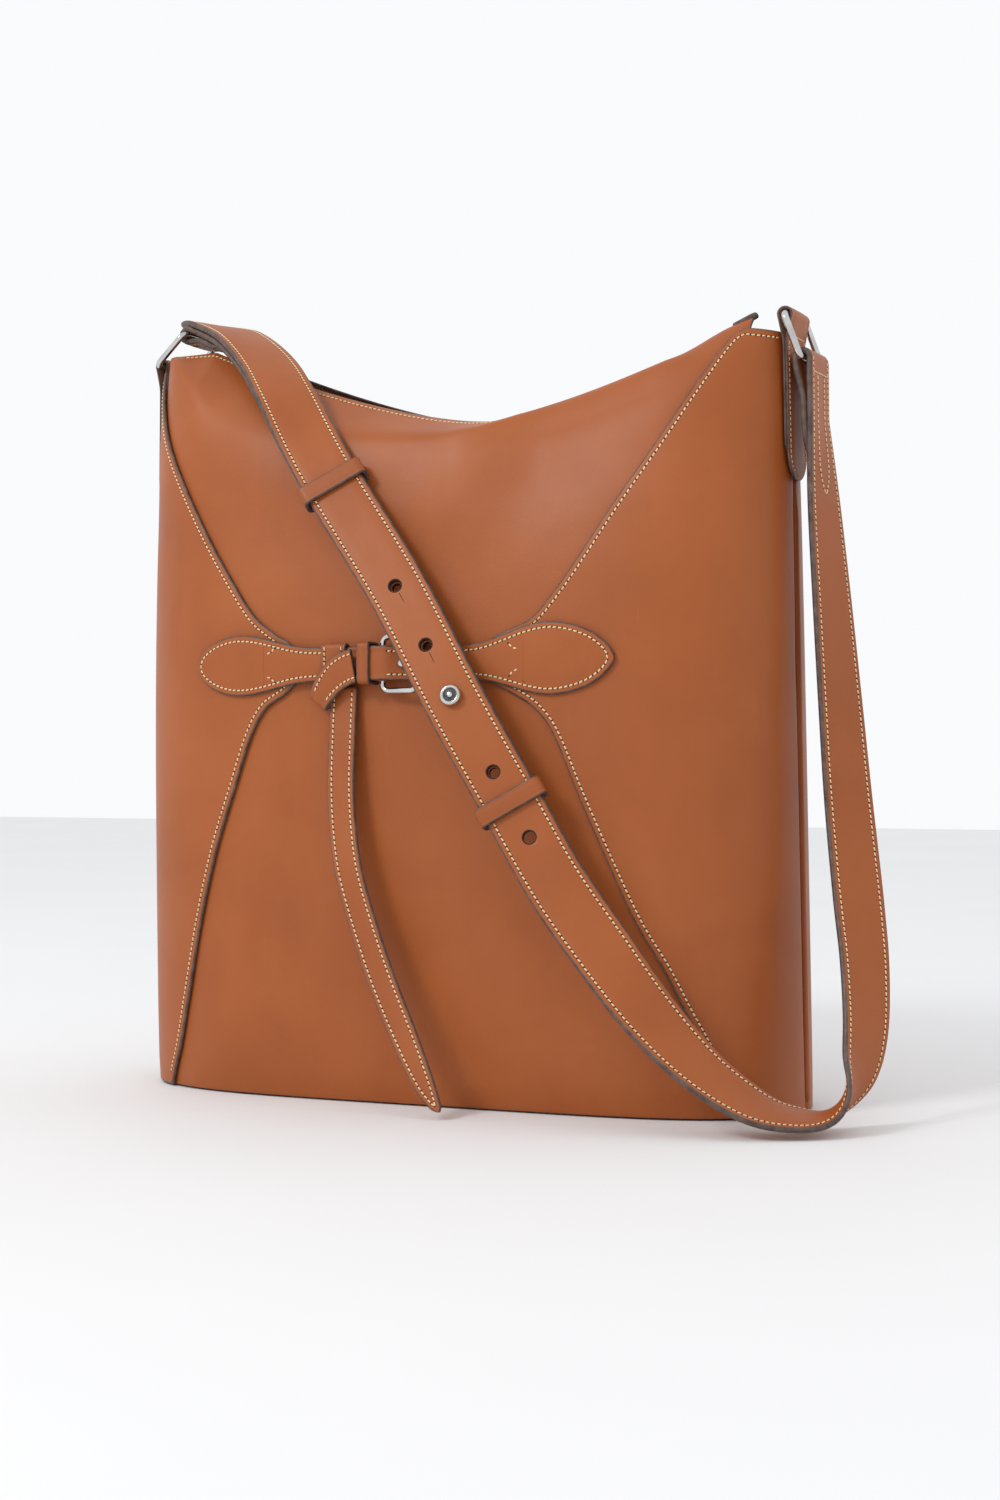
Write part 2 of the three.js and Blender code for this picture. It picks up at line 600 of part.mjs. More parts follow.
function beltLeftTabSolid() {
  const places = [
    [-117.5, 2], [-115, 6], [-110, 9.6], [-103, 12.6], [-94, 14.3], [-86, 14], [-76, 12], [-66, 9.6], [-58, 8.3],
    [-50, 8], [-38, 8], [-27.2, 8],
  ].map(([x, half]) => [x, belt.z, beltCentre, half]);
  return beltRibbon(places, belt.thickness);
}

// The strip that holds the buckle: it runs under the keeper and ends in an eye round the bar.
function buckleTabSolid() {
  const eye = buckle.wire + buckle.eyeGap;
  const stripEnd = -26.6;
  const low = buckle.barLift - eye - buckle.skin;
  const shape = new THREE.Shape();
  shape.moveTo(stripEnd, low);
  shape.lineTo(buckle.barX, low);
  shape.absarc(buckle.barX, buckle.barLift, eye + buckle.skin, -Math.PI / 2, Math.PI / 2, false);
  shape.lineTo(stripEnd + 6, low + 3.6);
  shape.lineTo(stripEnd, low + 1.9);
  shape.closePath();
  shape.holes.push(new THREE.Path().absarc(buckle.barX, buckle.barLift, eye, 0, Math.PI * 2, false));
  const height = 2 * belt.neckHalf;
  const strip = new THREE.ExtrudeGeometry(shape, { depth: height, bevelEnabled: false, curveSegments: 7 });
  strip.translate(0, 0, -height / 2);
  const wall = wallAt(buckle.barX, belt.z).y;
  placed(strip, vec(1, 0, 0), vec(0, -1, 0), vec(0, 0, -1), vec(0, wall, belt.z));
  const prongSlot = new THREE.BoxGeometry(12, 20, 4);
  prongSlot.translate(buckle.barX + 3, wall - buckle.barLift, belt.z);
  return cut(strip, prongSlot);
}

function buckleFrameSolid() {
  const wall = wallAt(buckle.barX, belt.z).y;
  const r = 3.5;
  const half = buckle.halfHeight;
  const corners = [
    [buckle.farX - r, half - r, 0], [buckle.barX + r, half - r, 90],
    [buckle.barX + r, -(half - r), 180], [buckle.farX - r, -(half - r), 270],
  ];
  const slope = (buckle.farLift - buckle.barLift) / (buckle.farX - buckle.barX);
  const rings = corners.flatMap(([x, z, start]) => range(4, start, start + 90).map((degrees) => {
    const turn = THREE.MathUtils.degToRad(degrees);
    const px = x + r * Math.cos(turn);
    const centre = vec(px, wall - buckle.barLift - slope * (px - buckle.barX), belt.z + z + r * Math.sin(turn));
    const out = vec(Math.cos(turn), -slope * Math.cos(turn), Math.sin(turn)).normalize();
    return range(8, 0, Math.PI * 2).slice(0, -1).map((a) => (
      along(along(centre, out, buckle.wire * Math.cos(a)), vec(0, -1, 0), buckle.wire * Math.sin(a))
    ));
  }));
  return ringSolid(rings, true);
}

// The prong turns on the bar, passes up through the belt's hole and rests over the far bar.
function buckleProngSolid() {
  const bore = buckle.wire + 0.15;
  const eye = bore + 1;
  const { barX, barLift, farX, farLift } = buckle;
  const restLift = farLift + buckle.wire + 0.3;
  const shape = new THREE.Shape();
  shape.moveTo(barX + 1, barLift - eye * 0.9);
  shape.lineTo(barX + 4, barLift - 0.4);
  shape.lineTo(prongHoleX, barLift + 1);
  shape.lineTo(prongHoleX + 3.4, restLift - 0.9);
  shape.lineTo(farX + 1, restLift);
  shape.lineTo(farX + 1, restLift + 1.4);
  shape.lineTo(prongHoleX + 2, restLift + 0.7);
  shape.lineTo(prongHoleX - 1.5, barLift + 2.5);
  shape.lineTo(barX + 3, barLift + 1.3);
  shape.absarc(barX, barLift, eye, Math.PI * 0.3, Math.PI * 1.6, false);
  shape.closePath();
  shape.holes.push(new THREE.Path().absarc(barX, barLift, bore, 0, Math.PI * 2, false));
  const width = 2.6;
  const prong = new THREE.ExtrudeGeometry(shape, { depth: width, bevelEnabled: false, curveSegments: 7 });
  prong.translate(0, 0, -width / 2);
  const wall = wallAt(barX, belt.z).y;
  return fromManifold(toManifold(placed(prong, vec(1, 0, 0), vec(0, -1, 0), vec(0, 0, -1), vec(0, wall, belt.z))));
}

function beltRightStrapSolid() {
  const places = [
    [97, 207.4, beltCentre, 2], [95, 207.4, beltCentre, 6], [91, 207.4, beltCentre, 9.5],
    [85, 207.4, beltCentre, 12.8], [76, 207.4, beltCentre, 15.6], [66, 207.4, beltCentre, 16.5],
    [55, 207.2, beltCentre, 14.6], [44, 206.8, beltCentre, 11.2], [34, 206.3, beltCentre, 8.6],
    [24, belt.z, beltCentre, 8], [10, belt.z, beltCentre, 8], [3, belt.z, 4.2, 8], [-2, belt.z, 5.2, 8],
    [-7, belt.z, 7, 8], [-12, belt.z, 9.4, 8], [-16, belt.z, beltOverBar, 8], [-21, belt.z, beltOverBar, 8],
    [-26.6, belt.z, beltOverBar - 0.3, 8],
  ];
  const strap = beltRibbon(places, belt.thickness);
  const hole = new THREE.CylinderGeometry(2.3, 2.3, 16, 12);
  hole.scale(1.7, 1, 1);
  hole.translate(prongHoleX, wallAt(prongHoleX, belt.z).y - 7, belt.z);
  return cut(strap, hole);
}

function beltBandSolid(x, inner, length) {
  const share = shareAt(-1, x, belt.z);
  const station = { point: wallPoint(-1, share, belt.z), side: vec(0, 0, 1), normal: wallNormal(-1, share, belt.z) };
  return bandSolid(station, inner, 1.5, length);
}

const beltLoopSolid = () => beltBandSolid(-41, {
  half: belt.neckHalf + 0.4, low: belt.inner - 0.3, high: belt.inner + belt.thickness + 0.4,
}, 13);
const beltKeeperSolid = () => beltBandSolid(-22.6, {
  half: belt.neckHalf + 0.5, low: 1.9, high: beltOverBar + belt.thickness / 2 + 0.4,
}, 6.2);

// The belt's end crosses down over the loop and folds under.
function tieKnotSolid() {
  const places = [
    [-28.7, 204.8, beltOverBar - 0.4, 8], [-32, 204, 9.2, 8], [-37, 201.5, 8.7, 7.8], [-41.5, 197.5, 8.5, 7.2],
    [-45, 193, 8.3, 6.4], [-47.2, 189.8, 7.6, 5.8],
  ];
  const sides = [[0, 0, 1], [-0.1, 0, 1], [-0.4, 0, 0.9], [-0.65, 0, 0.75], [-0.75, 0, 0.65], [-0.8, 0, 0.6]];
  return beltRibbon(places, belt.thickness, sides.map((side) => vec(...side)));
}

const tieStations = [
  [[-36.5, -66, 195.3], 7], [[-36.5, -66.6, 185], 7],
];
const tailStations = [
  [[-36.5, -66.8, 184.5], 7], [[-36, -69, 170], 7], [[-35.3, -71.5, 150], 7], [[-33, -74, 130], 7],
  [[-28.5, -77, 110], 7], [[-20.5, -79.5, 88], 7], [[-8.5, -83, 61], 7], [[5.5, -87, 35], 6.6],
  [[15.5, -90, 17.5], 5.4], [[21.5, -91.6, 8.5], 3.6], [[25, -92.4, 4], 1.4],
];

function tieSolid(stations) {
  const path = framed(stations.map(([point]) => vec(...point)), stations.map(() => vec(1, 0, 0)));
  return ribbonSolid(path, belt.thickness, stations.map(([, half]) => half));
}

// ---------- the whole bag ----------
const group = new THREE.Group();
function add(name, geometry, look) {
  const mesh = new THREE.Mesh(geometry, new THREE.MeshStandardMaterial(look));
  mesh.name = name;
  group.add(mesh);
}

add('front_panel', frontPanelSolid(), leather);
add('back_panel', backPanelSolid(), leather);
add('left_wing', wingSolid(-1), leather);
add('right_wing', wingSolid(1), leather);
add('base_panel', slabSolid(0, 2.1, 1.5), leather);
add('base_board', slabSolid(2.5, 4.4, -3.2), board);
add('lining', liningSolid(), suede);
add('inner_pocket', pocketSolid(), suede);
add('snap_male', snapSolid(-1, true), steel);
add('snap_female', snapSolid(1, false), steel);
add('left_tab', tabSolid(-1), leather);
add('right_tab', tabSolid(1), leather);
add('ring_left', ringWireSolid(tabPivot(-1), ringLeftAngle), steel);
add('ring_right', ringWireSolid(tabPivot(1), ringRightAngle), steel);
add('belt_left_tab', beltLeftTabSolid(), leather);
add('belt_right_strap', beltRightStrapSolid(), leather);
add('belt_loop', beltLoopSolid(), leather);
add('belt_keeper', beltKeeperSolid(), leatherDark);
add('buckle_tab', buckleTabSolid(), leatherDark);
add('buckle_frame', buckleFrameSolid(), steel);
add('buckle_prong', buckleProngSolid(), steel);
add('tie_knot', tieKnotSolid(), leather);
add('tie_root', tieSolid(tieStations), leather);
add('tie_tail', tieSolid(tailStations), leather);
add('long_strap', longStrapSolid(), leather);
add('short_strap', shortStrapSolid(), leather);
add('upper_keeper', keeperSolid(keeper.upperZ), leatherDark);
add('lower_keeper', keeperSolid(keeper.lowerZ), leatherDark);
add('stud_knob', studKnobSolid(), steel);
add('stud_base', studBaseSolid(), steel);

export default group;
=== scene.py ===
"""Leather sling bag: the looks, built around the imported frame.

Shapes are worked out in millimetres, in the frame's axes, and become metres when a mesh is made.
"""
import json
import math

import bpy
import numpy as np
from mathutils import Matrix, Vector


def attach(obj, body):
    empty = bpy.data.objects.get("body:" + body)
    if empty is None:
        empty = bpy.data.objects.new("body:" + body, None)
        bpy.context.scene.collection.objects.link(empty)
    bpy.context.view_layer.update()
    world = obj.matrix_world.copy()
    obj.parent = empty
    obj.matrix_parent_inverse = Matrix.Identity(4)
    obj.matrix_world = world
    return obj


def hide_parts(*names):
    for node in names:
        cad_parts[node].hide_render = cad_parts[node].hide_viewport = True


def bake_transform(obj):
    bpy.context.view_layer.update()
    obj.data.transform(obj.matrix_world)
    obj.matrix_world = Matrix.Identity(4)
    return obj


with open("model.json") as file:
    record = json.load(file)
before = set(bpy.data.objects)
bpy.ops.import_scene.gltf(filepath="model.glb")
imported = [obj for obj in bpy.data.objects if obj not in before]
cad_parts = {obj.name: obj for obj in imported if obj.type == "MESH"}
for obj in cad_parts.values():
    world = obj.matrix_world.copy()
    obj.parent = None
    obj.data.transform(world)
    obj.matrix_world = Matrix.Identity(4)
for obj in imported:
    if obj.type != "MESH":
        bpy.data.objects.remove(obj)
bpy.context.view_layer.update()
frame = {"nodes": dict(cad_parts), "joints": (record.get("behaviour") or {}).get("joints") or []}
MM = 0.001

# ---------------------------------------------------------------- camera
CAMERA_PLACE = (0.4983, -1.0879, 0.166)
CAMERA_TURN = math.radians(24)
camera_data = bpy.data.cameras.new("camera")
camera_data.sensor_width = 36
camera_data.lens = 59
camera = bpy.data.objects.new("camera", camera_data)
camera.location = CAMERA_PLACE
camera.rotation_euler = (math.radians(90), 0, CAMERA_TURN)
bpy.context.scene.collection.objects.link(camera)
bpy.context.scene.camera = camera

# ---------------------------------------------------------------- driving dimensions, mm
HALF_WIDTHS = [[0, 166], [180, 164.5], [360, 162]]
LEANS = [[0, 0], [180, -2.3], [360, -3.4]]
WALL_FOOT = 0.7
LEATHER = 1.8
WING_LIFT = 0.5
WING_TOP = 357
RIM_CENTRE, RIM_LOW, RIM_RISE, RIM_LEFT, RIM_RIGHT, RIM_POWER = 22, 323, 44, 155, 136, 1.5
STRAP_WIDTH = 28
STRAP_THICK = 2.8
LAYER_STEP = STRAP_THICK + 0.4
BELT_Z = 206
BELT_THICK = 2
BELT_INNER = 2.9
STITCH_PITCH = 2.5
STITCH_INSET = 2.9
PIVOT_LEFT, PIVOT_RIGHT = [
    np.array(joint["pos_m"]) / MM for name in ("ring_left_swing", "ring_right_swing")
    for joint in frame["joints"] if joint["name"] == name
]


# ---------------------------------------------------------------- small maths
def vec(*values):
    return np.array(values, float)


def unit(v):
    return v / np.maximum(np.linalg.norm(v, axis=-1, keepdims=True), 1e-9)


def smooth(low, high, x):
    t = np.clip((np.asarray(x, float) - low) / (high - low), 0, 1)
    return t * t * (3 - 2 * t)


def read_table(table, x):
    """A smooth curve through [place, value] rows."""
    keys = np.array([row[0] for row in table], float)
    values = np.array([row[1] for row in table], float)
    last = len(keys) - 1
    above = np.minimum(np.arange(len(keys)) + 1, last)
    below = np.maximum(np.arange(len(keys)) - 1, 0)
    slopes = (values[above] - values[below]) / (keys[above] - keys[below])
    x = np.clip(np.asarray(x, float), keys[0], keys[-1])
    i = np.clip(np.searchsorted(keys, x, side="left") - 1, 0, last - 1)
    h = keys[i + 1] - keys[i]
    t = (x - keys[i]) / h
    t2, t3 = t * t, t ** 3
    return ((2 * t3 - 3 * t2 + 1) * values[i] + (t3 - 2 * t2 + t) * h * slopes[i]
            + (3 * t2 - 2 * t3) * values[i + 1] + (t3 - t2) * h * slopes[i + 1])


def catmull(points, per_span):
    """Points along a smooth curve through the given ones."""
    p = np.array(points, float)
    p = np.vstack([2 * p[0] - p[1], p, 2 * p[-1] - p[-2]])
    t = np.linspace(0, 1, per_span, endpoint=False)[:, None]
    spans = []
    for a, b, c, d in zip(p[:-3], p[1:-2], p[2:-1], p[3:]):
        spans.append(0.5 * (2 * b + (c - a) * t + (2 * a - 5 * b + 4 * c - d) * t ** 2
                            + (3 * b - a - 3 * c + d) * t ** 3))
    return np.vstack(spans + [p[-2:-1]])


def lengths_along(points):
    steps = np.linalg.norm(np.diff(points, axis=0), axis=1)
    return np.concatenate([[0], np.cumsum(steps)])


def resampled(points, step, *others):
    """The same line with even steps; others are carried along."""
    run = lengths_along(points)
    count = max(2, int(round(run[-1] / step)) + 1)
    at = np.linspace(0, run[-1], count)
    result = [np.stack([np.interp(at, run, line[:, k]) for k in range(line.shape[1])], 1)
              for line in (points, *others)]
    return result if others else result[0]


# ---------------------------------------------------------------- the bag's wall
DEPTHS = [[0, 56], [0.04, 59], [0.15, 61], [0.5, 63], [0.7, 61], [0.8, 57],
          [0.88, 50.5], [0.94, 44.5], [0.975, 38], [0.99, 31.5], [1, 22]]
WIDTH_POWERS = [[0, 4.6], [280, 4.6], [360, 4.2]]
DEPTH_POWER = 2.2
REFERENCE_DEPTH = 63


def rim_z(x):
    reach = np.where(x < RIM_CENTRE, RIM_LEFT, RIM_RIGHT)
    return RIM_LOW + RIM_RISE * np.minimum(1, np.abs(x - RIM_CENTRE) / reach) ** RIM_POWER


def lean_at(z):
    return read_table(LEANS, z)


def half_width(z):
    return read_table(HALF_WIDTHS, z)


LEVELS = np.linspace(0, 372, 125)
SHARES = np.linspace(0, 1, 401)


def outline_tables():
    """For each level, the outline's across and out shares against the share of its length."""
    angle = np.linspace(0, math.pi / 2, 1200)
    across_rows, out_rows, length_rows = [], [], []
    for z in LEVELS:
        power = float(read_table(WIDTH_POWERS, z))
        across = np.sin(angle) ** (2 / power)
        out = np.clip(np.cos(angle), 0, 1) ** (2 / DEPTH_POWER)
        steps = np.hypot(np.diff(across) * half_width(z), np.diff(out) * REFERENCE_DEPTH)
        run = np.concatenate([[0], np.cumsum(steps)])
        across_rows.append(np.interp(SHARES, run / run[-1], across))
        out_rows.append(np.interp(SHARES, run / run[-1], out))
        length_rows.append(run[-1])
    return np.array(across_rows), np.array(out_rows), np.array(length_rows)


ACROSS, OUT, QUARTER = outline_tables()


def outline_share(table, share, z):
    row = np.clip(z / (LEVELS[1] - LEVELS[0]), 0, len(LEVELS) - 1.001)
    column = np.clip(share, 0, 1) * (len(SHARES) - 1) * 0.99999
    i, j = row.astype(int), column.astype(int)
    a, b = row - i, column - j
    top = table[i, j] * (1 - b) + table[i, j + 1] * b
    return top * (1 - a) + (table[i + 1, j] * (1 - b) + table[i + 1, j + 1] * b) * a


FOLD_DROPS = [[-158, 3], [-150, 8], [-135, 20], [-118, 27], [-90, 25], [-60, 20], [-30, 15], [0, 10.5],
              [20, 6.5], [40, 4]]


def slouched_depth(x, z):
    """The front's left part falls steeply from the rim to a soft fold, then follows the body."""
    fold = read_table(FOLD_DROPS, x)
    past = rim_z(x) - z - fold
    steep = 49 + 27 * past / fold
    easy = 49 + np.where(past > 0, 12 * (1 - np.exp(-np.abs(past) / 30)), 0.4 * past)
    return -2.5 * np.log(np.exp(-steep / 2.5) + np.exp(-easy / 2.5))


def wall_point(face, s, z):
    """s runs -1 (left seam) to 1 (right seam); face is -1 front or 1 back."""
    s, z = np.broadcast_arrays(np.asarray(s, float), np.asarray(z, float))
    x = lean_at(z) + np.sign(s) * outline_share(ACROSS, np.abs(s), z) * half_width(z)
    share = np.minimum(1, z / rim_z(x))
    depth = read_table(DEPTHS, share)
    if face < 0:
        slouch = (1 - smooth(10, 60, x)) * smooth(0.7, 0.86, share)
        depth = depth + slouch * (slouched_depth(x, z) - depth)
    return np.stack([x, face * depth * outline_share(OUT, np.abs(s), z), z], -1)


def wall_normal(face, s, z):
    s, z = np.broadcast_arrays(np.asarray(s, float), np.asarray(z, float))
    step = 0.008
    across = wall_point(face, np.minimum(1, s + step), z) - wall_point(face, np.maximum(-1, s - step), z)
    up = wall_point(face, s, z + 0.8) - wall_point(face, s, z - 0.8)
    return unit(np.cross(across, up) * -face)


def off_wall(face, s, z, lift):
    return wall_point(face, s, z) + wall_normal(face, s, z) * np.asarray(lift)[..., None]


def share_at(x, z):
    x, z = np.broadcast_arrays(np.asarray(x, float), np.asarray(z, float))
    low, high = np.full(x.shape, -1.0), np.full(x.shape, 1.0)
    for _ in range(26):
        middle = (low + high) / 2
        left = wall_point(-1, middle, z)[..., 0] < x
        low, high = np.where(left, middle, low), np.where(left, high, middle)
    return (low + high) / 2


# ---------------------------------------------------------------- meshes
def make_mesh(name, points, faces, materials, face_materials=None, is_smooth=True):
    mesh = bpy.data.meshes.new(name)
    mesh.from_pydata((np.asarray(points) * MM).tolist(), [], faces)
    for material in materials:
        mesh.materials.append(material)
    if face_materials is not None:
        mesh.polygons.foreach_set("material_index", np.asarray(face_materials, np.int32))
    mesh.polygons.foreach_set("use_smooth", [is_smooth] * len(mesh.polygons))
    mesh.validate()
    mesh.update()
    piece = bpy.data.objects.new(name, mesh)
    bpy.context.scene.collection.objects.link(piece)
    return piece


def settle(piece, body, slot, *nodes):
    """Rides on a body and stands for CAD nodes, whose parts it hides; the slot argument is not used."""
    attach(piece, body)
    if nodes:
        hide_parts(*nodes)
    return piece


def loft_faces(rows, columns, is_closed=False):
    """Quads over rows of a closed cross-section, with both ends capped unless it is closed."""
    faces = []
    row_count = rows if is_closed else rows - 1
    for i in range(row_count):
        low, high = i * columns, ((i + 1) % rows) * columns
        for j in range(columns):
            k = (j + 1) % columns
            faces.append((low + j, low + k, high + k, high + j))
    if not is_closed:
        faces.append(tuple(range(columns - 1, -1, -1)))
        faces.append(tuple((rows - 1) * columns + j for j in range(columns)))
    return faces


def facing_out(piece):
    bpy.context.view_layer.objects.active = piece
    mesh = piece.data
    co = np.zeros(len(mesh.vertices) * 3)
    mesh.vertices.foreach_get("co", co)
    co = co.reshape(-1, 3)
    mesh.calc_loop_triangles()
    tris = np.array([t.vertices[:] for t in mesh.loop_triangles])
    volume = np.einsum("ij,ij->i", co[tris[:, 0]], np.cross(co[tris[:, 1]], co[tris[:, 2]])).sum()
    if volume < 0:
        mesh.flip_normals()
    return piece


ROUND_STEPS = np.array([0, 0.07, 0.28, 0.6, 1])


def edge_share(distance, radius):
    """How far a rounded edge has come down to mid thickness, at a distance in from the border."""
    t = np.clip(1 - np.asarray(distance, float) / radius, 0, 1)
    return 1 - np.sqrt(np.maximum(0, 1 - t * t))


def insets(total, count, start_radius, end_radius):
    """Places from 0 to total, row by row, with close steps over a rounded start or end."""
    total = np.atleast_1d(np.asarray(total, float))[:, None]
    low = np.zeros_like(total) if start_radius is None else ROUND_STEPS * np.reshape(start_radius, (-1, 1))
    high = total if end_radius is None else total - ROUND_STEPS[::-1] * np.reshape(end_radius, (-1, 1))
    low = np.broadcast_to(low, (len(total), low.shape[1]))
    share = np.linspace(0, 1, count + 1)[None, 1:-1]
    inner = low[:, -1:] + (high[:, :1] - low[:, -1:]) * share
    return np.concatenate([low, inner, high], 1)


def loft(name, rings, materials, marks=None, is_closed=False):
    rows, columns = rings.shape[:2]
    faces = loft_faces(rows, columns, is_closed)
    if marks is not None:
        marks = list(marks) + [marks[0], marks[-1]] * (not is_closed)
    return facing_out(make_mesh(name, rings.reshape(-1, 3), faces, materials, marks))


LEATHER_MARK, PAINT_MARK, FLESH_MARK = 0, 1, 2


def face_marks(is_border, columns, is_closed=False):
    """A material for each quad of a sheet's rings: the paint near borders, the flesh side below."""
    ring_border = np.concatenate([is_border, is_border[:, ::-1]], 1).astype(int)
    if is_closed:
        ring_border = np.vstack([ring_border, ring_border[:1]])
    beside = np.roll(ring_border, -1, 1)
    corners = ring_border[:-1] + beside[:-1] + ring_border[1:] + beside[1:]
    under = np.concatenate([np.zeros(columns, bool), np.ones(columns, bool)])[None, :]
    return np.where(corners >= 3, PAINT_MARK, np.where(under, FLESH_MARK, LEATHER_MARK)).ravel().tolist()


def shell(name, outer, inner, distance, radius, materials):
    """A sheet of leather between two grids; faces near the border take the edge paint."""
    columns = outer.shape[1]
    middle = (outer + inner) / 2
    share = edge_share(distance, radius)[..., None]
    top = outer + (middle - outer) * share
    bottom = inner + (middle - inner) * share
    rings = np.concatenate([top, bottom[:, ::-1]], 1)
    return loft(name, rings, materials, face_marks(distance <= radius * 1.001, columns))


# ---------------------------------------------------------------- materials
def srgb(red, green, blue):
    def linear(c):
        c /= 255
        return c / 12.92 if c <= 0.04045 else ((c + 0.055) / 1.055) ** 2.4
    return (linear(red), linear(green), linear(blue), 1)


class Look:
    """A material being made: short names for the nodes that the looks share."""

    def __init__(self, name, roughness=0.5, metallic=0.0):
        self.material = bpy.data.materials.new(name)
        self.material.use_nodes = True
        self.tree = self.material.node_tree
        self.shader = self.tree.nodes["Principled BSDF"]
        self.shader.inputs["Roughness"].default_value = roughness
        self.shader.inputs["Metallic"].default_value = metallic
        self.place = self.tree.nodes.new("ShaderNodeTexCoord").outputs["Object"]

    def link(self, a, b):
        self.tree.links.new(a, b)

    def stretched(self, scale, turn=(0, 0, 0)):
        node = self.tree.nodes.new("ShaderNodeMapping")
        node.inputs["Scale"].default_value = scale
        node.inputs["Rotation"].default_value = turn
        self.link(self.place, node.inputs["Vector"])
        return node.outputs["Vector"]

    def noise(self, scale, detail=3, rough=0.55, place=None, distortion=0.0):
        node = self.tree.nodes.new("ShaderNodeTexNoise")
        node.inputs["Scale"].default_value = scale
        node.inputs["Detail"].default_value = detail
        node.inputs["Roughness"].default_value = rough
        node.inputs["Distortion"].default_value = distortion
        self.link(place or self.place, node.inputs["Vector"])
        return node.outputs["Fac"]

    def cells(self, scale):
        node = self.tree.nodes.new("ShaderNodeTexVoronoi")
        node.inputs["Scale"].default_value = scale
        self.link(self.place, node.inputs["Vector"])
        return node.outputs["Distance"]

    def ramp(self, value, *stops):
        node = self.tree.nodes.new("ShaderNodeValToRGB")
        elements = node.color_ramp.elements
        for i, (at, colour) in enumerate(stops):
            element = elements[i] if i < len(elements) else elements.new(at)
            element.position = at
            element.color = colour
        self.link(value, node.inputs["Fac"])
        return node.outputs["Color"]

    def grey(self, value, *stops):
        return self.ramp(value, *[(at, (level, level, level, 1)) for at, level in stops])

    def mixed(self, factor, a, b):
        node = self.tree.nodes.new("ShaderNodeMix")
        node.data_type = "RGBA"
        for source, socket in ((factor, node.inputs[0]), (a, node.inputs[6]), (b, node.inputs[7])):
            if isinstance(source, (float, int, tuple)):
                socket.default_value = source
            else:
                self.link(source, socket)
        return node.outputs[2]

    def between(self, value, low, high):
        node = self.tree.nodes.new("ShaderNodeMapRange")
        node.inputs["To Min"].default_value = low
        node.inputs["To Max"].default_value = high
        self.link(value, node.inputs["Value"])
        return node.outputs["Result"]

    def bump(self, height, strength, distance, under=None):
        node = self.tree.nodes.new("ShaderNodeBump")
        node.inputs["Strength"].default_value = strength
        node.inputs["Distance"].default_value = distance
        self.link(height, node.inputs["Height"])
        if under is not None:
            self.link(under, node.inputs["Normal"])
        return node.outputs["Normal"]

    def finish(self, colour=None, roughness=None, normal=None):
        for source, socket in ((colour, "Base Color"), (roughness, "Roughness"), (normal, "Normal")):
            if source is not None:
                self.link(source, self.shader.inputs[socket])
        return self.material


def leather(name, deep, base, bright, grain=1.0):
    """Smooth saddle leather: mottled dye, pores, fine creases and a few light scratches."""
    look = Look(name)
    mottle = look.noise(16, 4, 0.55, distortion=0.4)
    colour = look.ramp(mottle, (0.05, deep), (0.5, base), (1, bright))
    streaks = look.noise(1, 3, 0.5, look.stretched((90, 90, 14)))
    colour = look.mixed(look.grey(streaks, (0.45, 0), (0.8, 0.12)), colour, bright)
    pores = look.cells(1500)
    colour = look.mixed(look.grey(pores, (0.04, 0.22), (0.2, 0)), colour, deep)
    lines = look.noise(1, 2, 0.4, look.stretched((700, 700, 24), (0, 0.9, 0.3)))
    scratch = look.grey(lines, (0.735, 0), (0.78, 0.3))
    colour = look.mixed(scratch, colour, bright)
    fine = look.noise(1100, 4, 0.6)
    creases = look.noise(190, 3, 0.5, distortion=0.6)
    normal = look.bump(fine, 0.16 * grain, 0.0003)
    normal = look.bump(pores, 0.10 * grain, 0.0002, normal)
    normal = look.bump(creases, 0.10 * grain, 0.0006, normal)
    shine = look.between(look.noise(45, 3), 0.40, 0.56)
    look.shader.inputs["Specular IOR Level"].default_value = 0.3
    look.shader.inputs["Coat Weight"].default_value = 0.05
    look.shader.inputs["Coat Roughness"].default_value = 0.3
    return look.finish(colour, shine, normal)


def edge_paint():
    look = Look("edge_paint")
    colour = look.ramp(look.noise(240, 3), (0.3, srgb(66, 49, 43)), (0.6, srgb(92, 73, 65)),
                       (0.85, srgb(112, 92, 82)))
    normal = look.bump(look.noise(900, 3), 0.25, 0.0003)
    return look.finish(colour, look.between(look.noise(300), 0.38, 0.55), normal)


def flesh_side():
    look = Look("flesh_side")
    colour = look.ramp(look.noise(300, 5, 0.7), (0.3, srgb(138, 86, 54)), (0.7, srgb(172, 114, 76)))
    normal = look.bump(look.noise(1600, 4, 0.7), 0.4, 0.0004)
    look.shader.inputs["Sheen Weight"].default_value = 0.2
    return look.finish(colour, look.between(look.noise(500), 0.75, 0.92), normal)


def thread():
    look = Look("cream_thread")
    twist = look.noise(1, 2, 0.5, look.stretched((2600, 2600, 900), (0, 0.6, 0.4)))
    colour = look.ramp(twist, (0.3, srgb(206, 168, 118)), (0.6, srgb(243, 217, 174)))
    return look.finish(colour, look.between(twist, 0.55, 0.75), look.bump(twist, 0.4, 0.0002))


# Near-black brown: painted shade in needle holes, strap-hole walls and stud slits; it also colours the
# darkened ring round each strap hole.
def painted_hole_shade_and_rim():
    look = Look("painted_hole_shade_and_rim")
    colour = look.ramp(look.noise(900), (0.3, srgb(34, 17, 10)), (0.7, srgb(58, 30, 17)))
    return look.finish(colour, look.between(look.noise(700), 0.7, 0.9))


def polished_steel():
    look = Look("polished_steel", 0.12, 1.0)
    hairlines = look.noise(1, 3, 0.6, look.stretched((2400, 300, 300), (0.2, 0.5, 0.8)))
    colour = look.ramp(look.noise(120, 3), (0.3, (0.50, 0.50, 0.49, 1)), (0.7, (0.66, 0.66, 0.64, 1)))
    normal = look.bump(hairlines, 0.03, 0.0001)
    return look.finish(colour, look.between(hairlines, 0.08, 0.2), normal)


